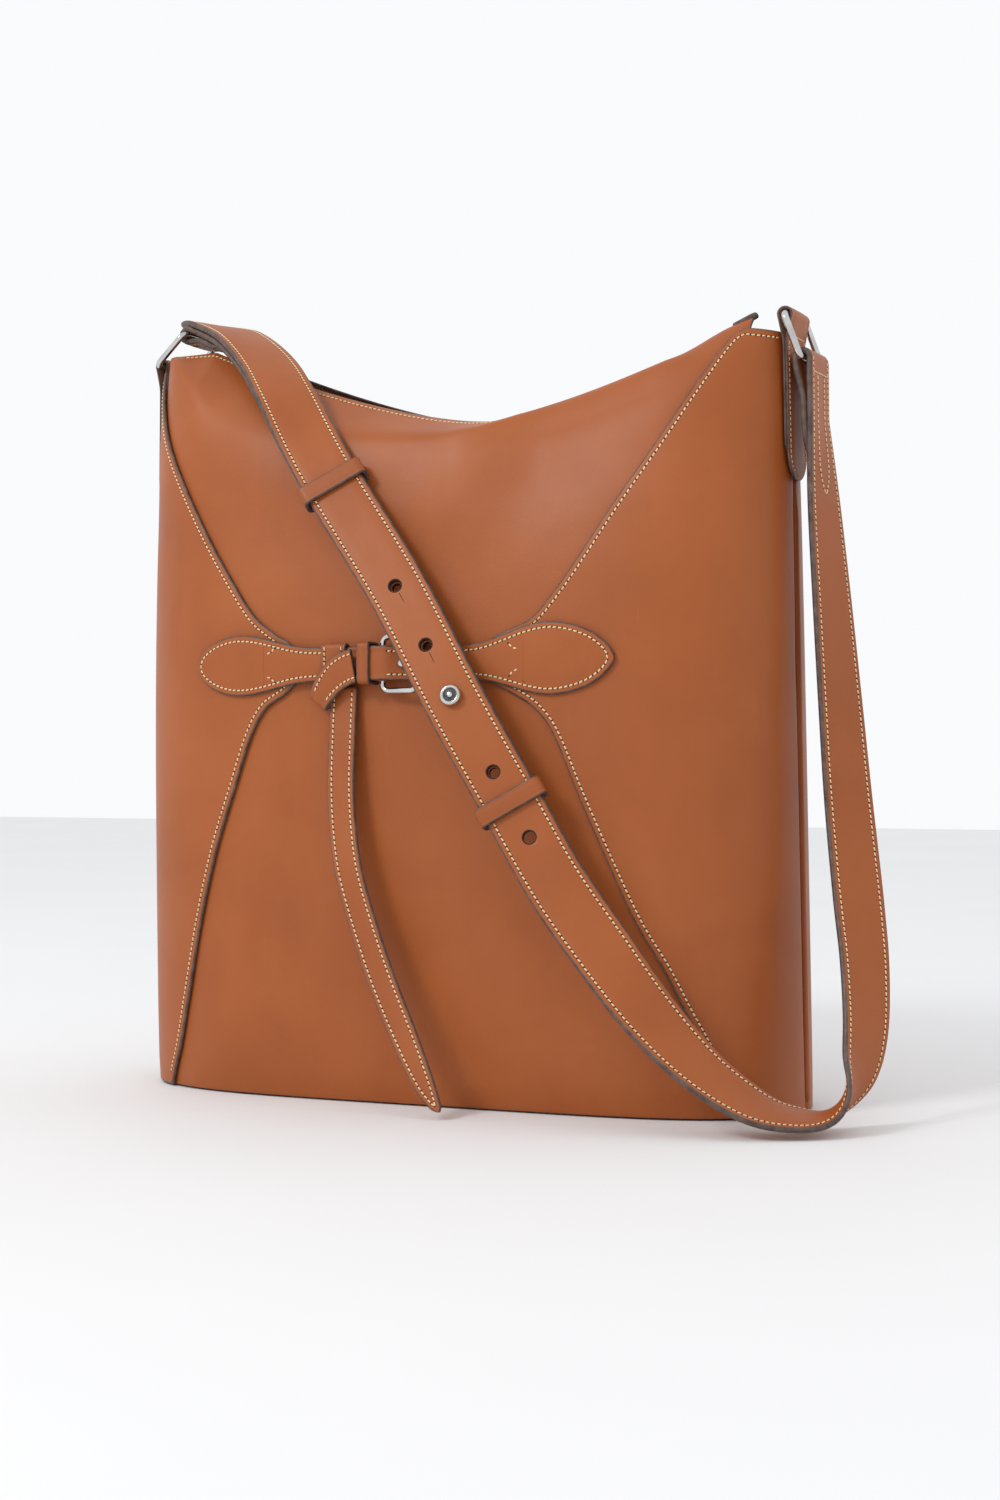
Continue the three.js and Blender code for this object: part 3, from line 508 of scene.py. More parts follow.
def dark_enamel():
    look = Look("dark_recess", 0.35, 0.8)
    colour = look.ramp(look.noise(800, 3), (0.3, (0.035, 0.035, 0.036, 1)), (0.7, (0.10, 0.10, 0.10, 1)))
    return look.finish(colour, look.between(look.noise(900), 0.25, 0.45))


def suede():
    look = Look("suede_lining")
    nap = look.noise(70, 5, 0.65)
    colour = look.ramp(nap, (0.3, srgb(150, 104, 70)), (0.65, srgb(186, 138, 98)))
    weave = look.noise(1800, 4, 0.7)
    look.shader.inputs["Sheen Weight"].default_value = 0.35
    look.shader.inputs["Sheen Roughness"].default_value = 0.5
    return look.finish(colour, look.between(weave, 0.82, 0.97), look.bump(weave, 0.5, 0.0004))


def fibre_board():
    look = Look("fibre_board")
    fibres = look.noise(1, 5, 0.7, look.stretched((500, 120, 500)))
    colour = look.ramp(fibres, (0.3, srgb(86, 70, 52)), (0.7, srgb(122, 102, 78)))
    return look.finish(colour, look.between(fibres, 0.8, 0.95), look.bump(fibres, 0.3, 0.0004))


TAN = leather("saddle_leather", srgb(141, 71, 27), srgb(155, 81, 34), srgb(168, 93, 44))
TAN_BAND = leather("keeper_leather", srgb(134, 67, 25), srgb(149, 77, 32), srgb(163, 90, 43))
TAN_TIE = leather("tie_leather", srgb(138, 69, 26), srgb(152, 79, 33), srgb(166, 92, 43), 1.2)
PAINT = edge_paint()
FLESH = flesh_side()
THREAD = thread()
HOLE_SHADE_AND_RIM = painted_hole_shade_and_rim()
STEEL = polished_steel()
RECESS = dark_enamel()
SUEDE = suede()
BOARD = fibre_board()
LEATHER_LOOKS = [TAN, PAINT, FLESH]
BAND_LOOKS = [TAN_BAND, PAINT, FLESH]
TIE_LOOKS = [TAN_TIE, PAINT, FLESH]


# ---------------------------------------------------------------- stitching
STITCHES = {}


def thread_shape():
    """One stitch: a thick low arch of thread. Columns are along, across and out of the leather."""
    rings = []
    for along, size in ((-1, 0.35), (-0.78, 0.85), (0, 1), (0.78, 0.85), (1, 0.35)):
        sunk = 0.35 * abs(along) ** 3
        for k in range(6):
            angle = k * math.pi / 3
            rings.append((along * 0.5, math.cos(angle) * size * 0.5, math.sin(angle) * size * 0.5 - sunk))
    return np.array(rings), loft_faces(5, 6)


# A flat disc with a low point, coloured as painted shade where a needle hole is.
def shade_disc_shape():
    points = [(0.5 * math.cos(k * math.pi / 4), 0.5 * math.sin(k * math.pi / 4), 0) for k in range(8)]
    points.append((0, 0, 0.12))
    return np.array(points), [(k, (k + 1) % 8, 8) for k in range(8)]


def stitch_row(group, points, normals, pitch=STITCH_PITCH, slant=0.16):
    """Keeps a row of stitches, to be made with the others of its group."""
    line, normal = resampled(np.array(points, float), pitch, np.array(normals, float))
    middles = (line[1:] + line[:-1]) / 2
    tangent = unit(line[1:] - line[:-1])
    normal = unit(normal[1:] + normal[:-1])
    across = unit(np.cross(normal, tangent))
    tilted = unit(tangent + across * slant)
    STITCHES.setdefault(group, []).append((middles, tilted, normal, line, pitch))


def make_stitches(group, body):
    arch, arch_faces = thread_shape()
    dot, dot_faces = shade_disc_shape()
    points, faces, marks = [], [], []
    count = 0
    for middles, tangent, normal, line, pitch in STITCHES.pop(group, []):
        across = np.cross(normal, tangent)
        for where, direction, out, side in zip(middles, tangent, normal, across):
            points.append(where + out * 0.12 + arch[:, :1] * direction * pitch * 0.78
                          + arch[:, 1:2] * side * 0.72 + arch[:, 2:] * out * 0.55)
            faces += [tuple(count + i for i in face) for face in arch_faces]
            marks += [0] * len(arch_faces)
            count += len(arch)
        # Each needle hole is a flat near-black disc: painted shade, not a real hole.
        for where, direction, out, side in zip(line[:-1], tangent, normal, across):
            points.append(where + out * 0.03 + dot[:, :1] * direction
                          + dot[:, 1:2] * side * 1.3 + dot[:, 2:] * out)
            faces += [tuple(count + i for i in face) for face in dot_faces]
            marks += [1] * len(dot_faces)
            count += len(dot)
    piece = make_mesh(group, np.vstack(points), faces, [THREAD, HOLE_SHADE_AND_RIM], marks)
    if body:
        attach(piece, body)
    return piece


# ---------------------------------------------------------------- wall panels
RIGHT_EDGE = [[2, 147], [12, 143.5], [34, 134.9], [48, 128], [68, 118.4], [88, 106.7], [121, 91.4],
              [148, 79.4], [175, 67.5], [186, 58], [193, 46], [199, 34], [206, 30], [214, 34],
              [220, 44], [225, 56], [236, 66.5], [251, 77.5], [272, 91], [301, 109.5], [331, 127],
              [350, 138], [354, 141], [357, 145]]
LEFT_EDGE = [[2, -143], [20, -135], [45, -128], [84, -118.5], [118, -108.5], [147, -97.5], [174, -87],
             [186, -79], [193, -68], [206, -58], [216, -66], [221, -75], [229, -86], [245, -98.5],
             [278, -121.5], [320, -147.5], [345, -158], [357, -161.5]]
WING_EDGES = {-1: LEFT_EDGE, 1: RIGHT_EDGE}
EDGE_RADIUS = 0.85


def quarter_at(z):
    return np.interp(z, LEVELS, QUARTER)


def seam_dip(from_seam):
    """How far the leather turns in at a side seam."""
    return 1.5 * (1 - smooth(0, 3.5, from_seam))


def wing(side):
    """A front wing: from the side seam to its free edge, and up to a level top."""
    z = WALL_FOOT + insets(WING_TOP - WALL_FOOT, 230, EDGE_RADIUS, EDGE_RADIUS)[0]
    edge_share_at = share_at(read_table(WING_EDGES[side], z), z)
    total = np.abs(side - edge_share_at) * quarter_at(z)
    slope = np.gradient(total, z)
    stretch = np.sqrt(1 + slope ** 2)
    across = insets(total, 58, 1.2, EDGE_RADIUS * stretch)
    heights = np.broadcast_to(z[:, None], across.shape)
    share = side * (1 - across / quarter_at(z)[:, None])
    from_edge = (total[:, None] - across) / stretch[:, None]
    from_top = WING_TOP - heights
    distance = np.minimum(np.minimum(from_edge, from_top), heights - WALL_FOOT)
    dip = seam_dip(across)
    outer = off_wall(-1, share, heights, WING_LIFT + LEATHER - dip)
    inner = off_wall(-1, share, heights, WING_LIFT - dip)
    name = "right_wing" if side > 0 else "left_wing"
    piece = shell(name + "_leather", outer, inner, distance, EDGE_RADIUS, LEATHER_LOOKS)
    settle(piece, "bag", "saddle_leather", name)
    stitch_wing(side)


def offset_inside(points, inset, keep_side):
    """A flat line moved sideways by inset, without the stretches that would fold over."""
    tangent = unit(np.gradient(points, axis=0))
    moved = points + keep_side * inset * np.stack([-tangent[:, 1], tangent[:, 0]], 1)
    gap = np.linalg.norm(moved[:, None] - points[None], axis=2).min(1)
    return moved[gap > inset * 0.985]


def stitch_wing(side):
    z = np.linspace(6, WING_TOP - 0.4, 700)
    x = read_table(WING_EDGES[side], z)
    flat = np.stack([share_at(x, z) * quarter_at(z), z], 1)
    seam = side * float(quarter_at(WING_TOP))
    tab_gap = 17
    top = np.linspace(flat[-1, 0], seam - side * tab_gap, 80)
    outline = np.vstack([flat, np.stack([top, np.full(80, WING_TOP - 0.4)], 1)[1:]])
    line = offset_inside(resampled(outline, 0.8), STITCH_INSET, -side)
    share, heights = line[:, 0] / quarter_at(line[:, 1]), line[:, 1]
    points = off_wall(-1, share, heights, np.full(len(line), WING_LIFT + LEATHER))
    stitch_row("stitches_body", points, wall_normal(-1, share, heights))


def heights_to_rim(top, radius):
    """Heights as shares of the rim's, closer together over the shoulder."""
    low = insets(0.9, 140, radius, None)[0]
    high = 0.9 + (top - 0.9) * (1 - (1 - np.linspace(0, 1, 60)[1:]) ** 1.5)
    edge = top - ROUND_STEPS[::-1] * radius
    return np.concatenate([low, high[high < edge[0] - 0.0004], edge])


RIM_SHARE = 0.9965
SEAM_SHARE = 0.9965


def rim_corner(x):
    """How far the rim stands up beside the right wing's corner."""
    return 4.5 * smooth(108, 138, x)


def front_panel():
    """The soft front between and under the wings, up over the shoulder to the rim."""
    underlap = 11
    panel_height = 330
    share = heights_to_rim(RIM_SHARE, EDGE_RADIUS / panel_height)

    def edge_x(side):
        x = np.full(share.shape, side * 120.0)
        for _ in range(8):
            x = read_table(WING_EDGES[side], np.minimum(WING_TOP, share * rim_z(x))) + side * underlap
        return np.clip(x, -158, 147)

    left, right = edge_x(-1), edge_x(1)
    along = insets(np.ones(len(share)), 150, 0.003, 0.003)
    x = left[:, None] + (right - left)[:, None] * along
    z = np.maximum(WALL_FOOT, share[:, None] * rim_z(x))
    s = share_at(x, z)
    to_rim = (RIM_SHARE - share[:, None]) * rim_z(x)
    distance = np.minimum(to_rim, panel_height * share[:, None])
    distance = np.minimum(distance, np.minimum(x - left[:, None], right[:, None] - x))
    outer = off_wall(-1, s, z, np.zeros(x.shape))
    inner = off_wall(-1, s, z, np.full(x.shape, -LEATHER))
    swell = 3 * smooth(0.95, 0.985, share) * (1 - smooth(0.985, 1, share))
    corner = rim_corner(x) * smooth(0.978, RIM_SHARE, share)[:, None]
    lift = swell[:, None] * smooth(20, 60, x) * (1 - smooth(108, 126, x)) + corner
    for sheet in (outer, inner):
        sheet[..., 2] += lift
        sheet[..., 1] += corner / 2
    piece = shell("front_panel_leather", outer, inner, distance, EDGE_RADIUS, LEATHER_LOOKS)
    settle(piece, "bag", "saddle_leather", "front_panel")
    rim_x = np.linspace(-150, 34, 260)
    stitch_rim(-1, rim_x, 0)


def stitch_rim(face, x, lift):
    z = RIM_SHARE * rim_z(x) - STITCH_INSET * 0.8
    s = share_at(x, z)
    stitch_row("stitches_body", off_wall(face, s, z, np.full(x.shape, lift)), wall_normal(face, s, z))


def rim_end():
    """The rim's painted edge where it stands clear of the right wing."""
    x = np.linspace(137.5, 148, 24)
    z = RIM_SHARE * rim_z(x)
    line = off_wall(-1, share_at(x, z), z, np.full(24, -0.9))
    line[:, 2] += rim_corner(x) + 0.8 * smooth(138, 148, x)
    line[:, 1] += rim_corner(x) / 2
    radius = 1.7 - 0.9 * (1 - np.sqrt(1 - np.linspace(-1, 1, 24) ** 8 * 0.98))
    settle(wire("rim_end_edge", line, radius, [PAINT], 16, False), "bag", "saddle_leather")


def back_panel():
    panel_height, half_round = 340, 200
    columns = np.linspace(-1, 1, 241) * SEAM_SHARE
    top = np.minimum(WING_TOP, rim_z(wall_point(1, columns, np.full(241, 347.0))[:, 0]) * 0.996)
    share = heights_to_rim(1, EDGE_RADIUS / panel_height)
    s = np.broadcast_to(columns, (len(share), 241))
    z = np.maximum(WALL_FOOT, share[:, None] * top)
    dip = seam_dip((1 - np.abs(s)) * half_round)
    distance = np.minimum((1 - share[:, None]) * top, panel_height * share[:, None])
    outer = off_wall(1, s, z, WING_LIFT + LEATHER - dip)
    inner = off_wall(1, s, z, WING_LIFT - dip)
    piece = shell("back_panel_leather", outer, inner, distance, EDGE_RADIUS, LEATHER_LOOKS)
    settle(piece, "bag", "saddle_leather", "back_panel")
    line = np.linspace(-0.93, 0.93, 500)
    height = np.interp(line, columns, top) - STITCH_INSET
    points = off_wall(1, line, height, np.full(500, WING_LIFT + LEATHER))
    stitch_row("stitches_body", points, wall_normal(1, line, height))


def outline_ring(z, lift, count):
    """The wall's outline at one height, once round."""
    share = np.linspace(1, -1, count + 1)[:-1]
    heights = np.full(count, float(z))
    return np.vstack([off_wall(-1, share, heights, np.full(count, lift)),
                      off_wall(1, -share, heights, np.full(count, lift))])


def flat_at(ring, z):
    return np.column_stack([ring[:, :2], np.full(len(ring), z)])


def base_panel():
    """The leather base, with rounded edges where it meets the floor."""
    out, top, foot_radius, top_radius = -2, 2.4, 1.3, 0.5
    levels = [(0, -40)]
    for angle in np.linspace(0, math.pi / 2, 7):
        levels.append((foot_radius * (1 - math.cos(angle)), out - foot_radius * (1 - math.sin(angle))))
    for angle in np.linspace(math.pi / 2, 0, 5):
        levels.append((top - top_radius * (1 - math.cos(angle)), out - top_radius * (1 - math.sin(angle))))
    levels.append((top, -4))
    rings = [flat_at(outline_ring(WALL_FOOT, lift, 120), z) for z, lift in levels]
    piece = loft("base_panel_leather", np.array(rings), [TAN])
    settle(piece, "bag", "saddle_leather", "base_panel")


def lining():
    """A bag within the bag, with its own floor."""
    count = 90
    share = np.concatenate([np.linspace(0, 0.85, 40), np.linspace(0.85, 1, 22)[1:]])

    def rings(lift, floor):
        columns = np.linspace(1, -1, count + 1)[:-1]
        s = np.concatenate([columns, -columns])
        result = []
        for k, level in enumerate(share):
            guess = np.concatenate([wall_point(-1, columns, np.full(count, level * 340 + 10.0))[:, 0],
                                    wall_point(1, -columns, np.full(count, level * 340 + 10.0))[:, 0]])
            top = np.minimum(WING_TOP, rim_z(guess)) - 6
            z = floor + level * (top - floor)
            if k == 0:
                z = np.full(2 * count, float(floor))
            front = off_wall(-1, s[:count], z[:count], np.full(count, lift))
            back = off_wall(1, s[count:], z[count:], np.full(count, lift))
            ring = np.vstack([front, back])
            result.append(flat_at(ring, floor) if k == 0 else ring)
        return result

    loops = rings(-2.9, 4.8) + rings(-4.1, 6.0)[::-1]
    piece = loft("lining_cloth", np.array(loops), [SUEDE])
    settle(piece, "bag", "suede_lining", "lining")


def pocket():
    """A flat pocket on the lining's back."""
    foot, top, reach, half_round = 120, 262, 0.45, 200
    z = foot + insets(top - foot, 60, 0.8, 0.8)[0]
    s = insets(2 * reach, 80, 0.004, 0.004)[0] - reach
    heights = np.broadcast_to(z[:, None], (len(z), len(s)))
    shares = np.broadcast_to(s, heights.shape)
    from_ends = np.minimum(heights - foot, top - heights)
    distance = np.minimum(from_ends, (reach - np.abs(shares)) * half_round)
    outer = off_wall(1, shares, heights, np.full(heights.shape, -4.8))
    inner = off_wall(1, shares, heights, np.full(heights.shape, -6.0))
    piece = shell("pocket_cloth", outer, inner, distance, 0.6, [SUEDE, SUEDE, SUEDE])
    settle(piece, "bag", "suede_lining", "inner_pocket")


def seam_piping(side):
    """The thin rounded strip sewn into a side seam."""
    top, foot = 287, 4
    z = np.linspace(foot, top, 140)
    centre = wall_point(-1, np.full(z.shape, float(side)), z)
    centre[:, 0] += side * (0.9 + WING_LIFT)
    centre[:, 1] = 2.4
    top_taper = np.sqrt(np.clip((top - z) / 26, 0.02, 1))
    foot_taper = np.sqrt(np.clip((z - foot + 0.4) / 5, 0.05, 1))
    half_deep = 2.3 * top_taper * foot_taper
    angle = np.linspace(0, 2 * math.pi, 17)[:-1]
    rings = centre[:, None] + np.stack([
        side * np.cos(angle)[None, :] * np.minimum(1.7, half_deep)[:, None],
        np.sin(angle)[None, :] * half_deep[:, None],
        np.zeros((len(z), 16)),
    ], -1)
    name = "right" if side > 0 else "left"
    settle(loft("side_piping_" + name, rings, [TAN]), "bag", "saddle_leather")


# ---------------------------------------------------------------- ribbons
class Ribbon:
    """A strap's route: places, the direction across it, and its outer face's normal."""

    def __init__(self, points, sides, step=1.6):
        self.points, sides = resampled(np.array(points, float), step, np.array(sides, float))
        tangent = unit(np.gradient(self.points, axis=0))
        self.sides = unit(sides - tangent * np.sum(sides * tangent, 1, keepdims=True))
        self.normals = np.cross(tangent, self.sides)
        self.run = lengths_along(self.points)
        self.length = self.run[-1]

    def of(self, values, u):
        return np.stack([np.interp(u, self.run, values[:, k]) for k in range(3)], -1)

    def at(self, u, v=0.0, h=0.0):
        u, v, h = np.broadcast_arrays(np.asarray(u, float), np.asarray(v, float), np.asarray(h, float))
        across = self.of(self.sides, u) * v[..., None]
        out = self.of(self.normals, u) * h[..., None]
        return self.of(self.points, u) + across + out

    def normal(self, u):
        return unit(self.of(self.normals, u))

    def where(self, axis, value, low, high):
        """How far along the route a coordinate is passed, between two lengths."""
        inside = (self.run >= low) & (self.run <= high)
        run, line = self.run[inside], self.points[inside, axis]
        order = np.argsort(line)
        return float(np.interp(value, line[order], run[order]))


def rounded_half(half, start, end, length):
    """Half width along a strap whose ends are rounded over the given lengths."""
    def width(u):
        u = np.asarray(u, float)
        share = np.zeros(u.shape)
        if start:
            share = np.maximum(share, 1 - u / start)
        if end:
            share = np.maximum(share, 1 - (length - u) / end)
        return half * np.sqrt(np.maximum(0.012, 1 - np.clip(share, 0, 1) ** 2.2))
    return width


def tip_steps(length, start, end, spacing):
    """Places along a strap, closer together where its tips curve in."""
    count = max(4, int((length - start - end) / spacing))
    ease = 1 - np.cos(np.linspace(0, math.pi / 2, 18))
    return np.unique(np.concatenate([
        start * ease, np.linspace(start, length - end, count + 1), length - end * ease,
    ]).round(4))


def strap_rings(ribbon, width, u, thickness, columns, radius, groove=0.22, crown=0.18):
    """Cross-sections of a strap: painted round edges, a pressed line under the stitches, a slight crown."""
    half = width(u)
    slope = np.gradient(half, u)
    stretch = np.sqrt(1 + slope ** 2)
    round_in = np.minimum(radius * stretch, half * 0.45)
    across = insets(2 * half, columns, round_in, round_in)
    v = across - half[:, None]
    inward = (half[:, None] - np.abs(v))
    distance = inward / (round_in[:, None] / radius)
    lowered = edge_share(distance, radius)
    pressed = groove * np.exp(-((inward / stretch[:, None] - STITCH_INSET) / 0.8) ** 2)
    raised = crown * smooth(STITCH_INSET, STITCH_INSET + 5, inward)
    top = (thickness / 2) * (1 - lowered) + raised - pressed
    bottom = -(thickness / 2) * (1 - lowered) + pressed * 0.7
    at = np.broadcast_to(u[:, None], v.shape)
    rings = np.concatenate([ribbon.at(at, v, top), ribbon.at(at, v, bottom)[:, ::-1]], 1)
    return rings, face_marks(distance <= radius * 1.001, v.shape[1])


def edge_rows(group, ribbon, width, face, thickness, low, high, inset=STITCH_INSET,
              tip_low=False, tip_high=False):
    """Stitches along both edges of a strap, and round a tip where asked."""
    u = np.linspace(low, high, max(20, int((high - low) / 0.8)))
    half = width(u)
    flat = [np.stack([u, half], 1), np.stack([u, -half], 1)]
    if tip_low and tip_high:
        lines = [np.vstack([flat[0], flat[1][::-1], flat[0][:1]])]
    elif tip_low:
        lines = [np.vstack([flat[0][::-1], flat[1]])]
    elif tip_high:
        lines = [np.vstack([flat[0], flat[1][::-1]])]
    else:
        lines = flat
    height = face * (thickness / 2 - 0.12)
    for k, line in enumerate(lines):
        line = resampled(line, 0.6)
        turn = -1 if (tip_high or (not tip_low and k == 0)) else 1
        moved = offset_inside(line, inset, turn)
        points = ribbon.at(moved[:, 0], moved[:, 1], height)
        stitch_row(group, points, ribbon.normal(moved[:, 0]) * face)


def strap(name, ribbon, width, thickness, looks, spacing, columns, start, end, radius=0.9):
    u = tip_steps(ribbon.length, start, end, spacing)
    rings, marks = strap_rings(ribbon, width, u, thickness, columns, radius)
    return loft(name, rings, looks, marks)


def band(name, centre, across, thickness, width, looks, columns=10):
    """A closed band: its route goes round, and its width lies along a fixed direction."""
    centre = resampled(np.vstack([centre, centre[:1]]), 0.7)[:-1]
    tangent = unit(np.roll(centre, -1, 0) - np.roll(centre, 1, 0))
    out = np.cross(tangent, across)
    if np.sum(out * (centre - centre.mean(0))) < 0:
        out = -out
    radius = 0.7
    v = insets([width], columns, radius, radius)[0] - width / 2
    inward = width / 2 - np.abs(v)
    lowered = edge_share(inward, radius)
    crease = 0.28 * np.exp(-((inward - 1.7) / 0.35) ** 2)
    top, bottom = thickness / 2 * (1 - lowered) - crease, -thickness / 2 * (1 - lowered)
    lift = np.concatenate([top, bottom[::-1]])
    place = np.concatenate([v, v[::-1]])
    rings = centre[:, None] + across * place[None, :, None] + out[:, None] * lift[None, :, None]
    distance = np.broadcast_to(inward, (len(centre), len(v)))
    return loft(name, rings, looks, face_marks(distance <= radius * 1.001, len(v), True), True)


def rounded_loop(side, normal, origin, half, low, high, corner):
    """A rounded rectangle round a strap, in the plane across it."""
    points = []
    for x, y, start in ((half - corner, high - corner, 0), (-half + corner, high - corner, 90),
                        (-half + corner, low + corner, 180), (half - corner, low + corner, 270)):
        for angle in np.radians(np.linspace(start, start + 90, 9)):
            points.append(origin + side * (x + corner * math.cos(angle))
                          + normal * (y + corner * math.sin(angle)))
    return np.array(points)


def turned(name, profile, origin, x, y, z, looks, marks=None, segments=56):
    """A round piece: profile rows are radius and height along y."""
    angle = np.linspace(0, 2 * math.pi, segments + 1)[:-1]
    rings = np.array([[origin + x * r * math.cos(a) + z * r * math.sin(a) + y * h for a in angle]
                      for r, h in profile])
    face_mark = None if marks is None else [m for m in marks for _ in range(segments)]
    return loft(name, rings, looks, face_mark)


def wire(name, centre, radius, looks, sections=18, is_closed=True, flat=1.0):
    """Round wire along a route; radius may change along it."""
    count = len(centre)
    radius = np.broadcast_to(np.asarray(radius, float), (count,))
    if is_closed:
        tangent = unit(np.roll(centre, -1, 0) - np.roll(centre, 1, 0))
    else:
        tangent = unit(np.gradient(centre, axis=0))
    plane = unit(np.cross(centre[count // 4] - centre[0], centre[count // 2] - centre[0]))
    out = unit(np.cross(tangent, plane))
    angle = np.linspace(0, 2 * math.pi, sections + 1)[:-1]
    rings = (centre[:, None] + out[:, None] * (np.cos(angle)[None, :] * radius[:, None])[..., None]
             + plane * (np.sin(angle)[None, :] * radius[:, None] * flat)[..., None])
    return loft(name, rings, looks, None, is_closed)


# ---------------------------------------------------------------- shoulder strap
STRAP_STATIONS = [
    [(-163, 0, 383.7), (0, 1, 0)], [(-147, -1, 381.9), (0.04, 1, 0.06)],
    [(-123, -14.5, 373.8), (0.15, 0.95, 0.24)],
    [(-98, -31.5, 357), (0.3, 0.85, 0.38)], [(-78, -47.5, 337.5), (0.52, 0.7, 0.45)],
    [(-60, -59, 314.5), (0.7, 0.5, 0.48)], [(-41.5, -66.5, 289.6), (0.78, 0.36, 0.49)],
    [(-4, -75.5, 239.6), (0.8, 0.28, 0.51)], [(27, -82, 189.6), (0.8, 0.27, 0.52)],
    [(55.5, -83.5, 143.8), (0.8, 0.28, 0.53)], [(78, -84.5, 108), (0.77, 0.3, 0.57)],
    [(100, -85, 79), (0.6, 0.48, 0.6)], [(123, -85.5, 51), (0.42, 0.72, 0.55)],
    [(145, -85, 29.5), (0.2, 0.84, 0.44)], [(165.5, -81.5, 15), (-0.05, 0.9, 0.4)],
    [(181, -74, 8.6), (-0.35, 0.88, 0.26)], [(193, -64, 8), (-0.45, 0.8, 0.08)],
    [(201, -54, 13.5), (-0.3, 0.9, -0.35)], [(205, -44, 27), (0.25, 0.9, -0.32)],
    [(205.5, -35, 45), (0.45, 0.82, -0.28)], [(202, -24, 71), (0.55, 0.78, -0.22)],
    [(196.5, -14, 98), (0.6, 0.78, -0.15)], [(189.5, -6, 143), (0.54, 0.84, -0.03)],
    [(184.7, -3, 189), (0.44, 0.9, 0)], [(180.3, -1, 235), (0.33, 0.94, 0)],
    [(176.2, 0, 280), (0.2, 0.98, 0.01)], [(173.5, 0, 318), (0, 1, 0)],
]
STRAP_HALF = STRAP_WIDTH / 2
RING_SPAN = 21.5
RING_LEFT_ANGLE, RING_RIGHT_ANGLE = math.radians(43.8), math.radians(-69.5)
FOLD_RADIUS = 3.35
HOLE_HEIGHTS = [241, 213.5, 190, 156, 127]
STUD_Z = 190
HOLE_RADIUS = 2.9
UPPER_KEEPER_Z, LOWER_KEEPER_Z = 291, 142.5
PER_SPAN = 40
strap_line = catmull([point for point, _ in STRAP_STATIONS], PER_SPAN)
strap_across = catmull([side for _, side in STRAP_STATIONS], PER_SPAN)
RUN = Ribbon(strap_line, strap_across, 1.0)
STATION_RUN = lengths_along(strap_line)[::PER_SPAN]
ACROSS_FOLD = vec(0, 1, 0)


def run_at_height(z):
    return RUN.where(2, z, STATION_RUN[3], STATION_RUN[12])


def ring_end(pivot, angle):
    return pivot + RING_SPAN * vec(math.cos(angle), 0, math.sin(angle))


def fold_points(bar, start, end):
    return [bar + FOLD_RADIUS * vec(math.cos(a), 0, math.sin(a)) for a in np.linspace(start, end, 22)]


def leg_spacing(distance, step):
    return 2 * FOLD_RADIUS + (step - 2 * FOLD_RADIUS) * smooth(0, 22, distance)


def long_strap_route():
    bar = ring_end(PIVOT_RIGHT, RING_RIGHT_ANGLE)
    low = RUN.points[-1]
    slope = (bar[0] + FOLD_RADIUS - low[0]) / (bar[2] - low[2])
    rise = np.arange(2, bar[2] - low[2], 2.0)
    up = [low + vec(slope * z, 0, z) for z in rise]
    leg = []
    for drop in np.arange(2, 46.1, 2):
        z = bar[2] - drop
        if z > low[2]:
            outer_x = low[0] + slope * (z - low[2])
        else:
            outer_x = RUN.at(RUN.where(2, z, STATION_RUN[-3], RUN.length))[0]
        leg.append(vec(outer_x - leg_spacing(drop, STRAP_THICK + 0.1), 0, z))
    extra = up + fold_points(bar, 0.02, math.pi - 0.02) + leg
    points = np.vstack([RUN.points, extra])
    sides = np.vstack([RUN.sides, [ACROSS_FOLD] * len(extra)])
    return Ribbon(points, sides, 1.0)


def short_strap_route():
    bar = ring_end(PIVOT_LEFT, RING_LEFT_ANGLE)
    at_bar = RUN.where(0, bar[0], 0, STATION_RUN[3])
    normal = RUN.normal(at_bar)
    last = run_at_height(LOWER_KEEPER_Z - 9)
    upper_run = np.arange(at_bar + 7, last, 2.0)
    upper = RUN.at(upper_run, 0, -LAYER_STEP)
    leg_run = [RUN.where(0, bar[0] + d, 0, STATION_RUN[4]) for d in np.arange(36, 3, -2.0)]
    leg = [RUN.at(u, 0, -LAYER_STEP - leg_spacing(u - at_bar, LAYER_STEP)) for u in leg_run]
    top_angle = math.atan2(normal[2], normal[0])
    fold = fold_points(bar, top_angle + math.pi, top_angle)
    points = np.vstack([leg, fold, upper])
    sides = np.vstack([RUN.of(RUN.sides, leg_run), [ACROSS_FOLD] * len(fold), RUN.of(RUN.sides, upper_run)])
    return Ribbon(points, sides, 1.0)


CIRCLE_SIDES = 40


def circle(centre, side, along, radius):
    """Points once round a hole."""
    return [centre + radius * (side * math.cos(a) + along * math.sin(a))
            for a in np.linspace(0, 2 * math.pi, CIRCLE_SIDES + 1)[:-1]]


def cut_holes(piece, stations, radius):
    """Round holes through a strap; their walls are coloured near-black as painted shade."""
    piece.data.materials.append(HOLE_SHADE_AND_RIM)
    rings, faces, count = [], [], 0
    for point, side, normal in stations:
        along = np.cross(side, normal)
        for h in (-7, 7):
            rings.append(circle(point + normal * h, side, along, radius))
        faces += [tuple(count + i for i in face) for face in loft_faces(2, CIRCLE_SIDES)]
        count += 2 * CIRCLE_SIDES
    cutter = make_mesh("cutter", np.vstack(rings), faces, [HOLE_SHADE_AND_RIM] * 4, [3] * len(faces))
    facing_out(cutter)
    modifier = piece.modifiers.new("holes", "BOOLEAN")
    modifier.operation = "DIFFERENCE"
    modifier.solver = "EXACT"
    modifier.object = cutter
    pierced = bpy.data.meshes.new_from_object(piece.evaluated_get(bpy.context.evaluated_depsgraph_get()))
    piece.modifiers.clear()
    piece.data = pierced
    bpy.data.objects.remove(cutter)


def hole_stations(heights):
    places = [run_at_height(z) for z in heights]
    return [(RUN.at(u), RUN.of(RUN.sides, u), RUN.normal(u)) for u in places]


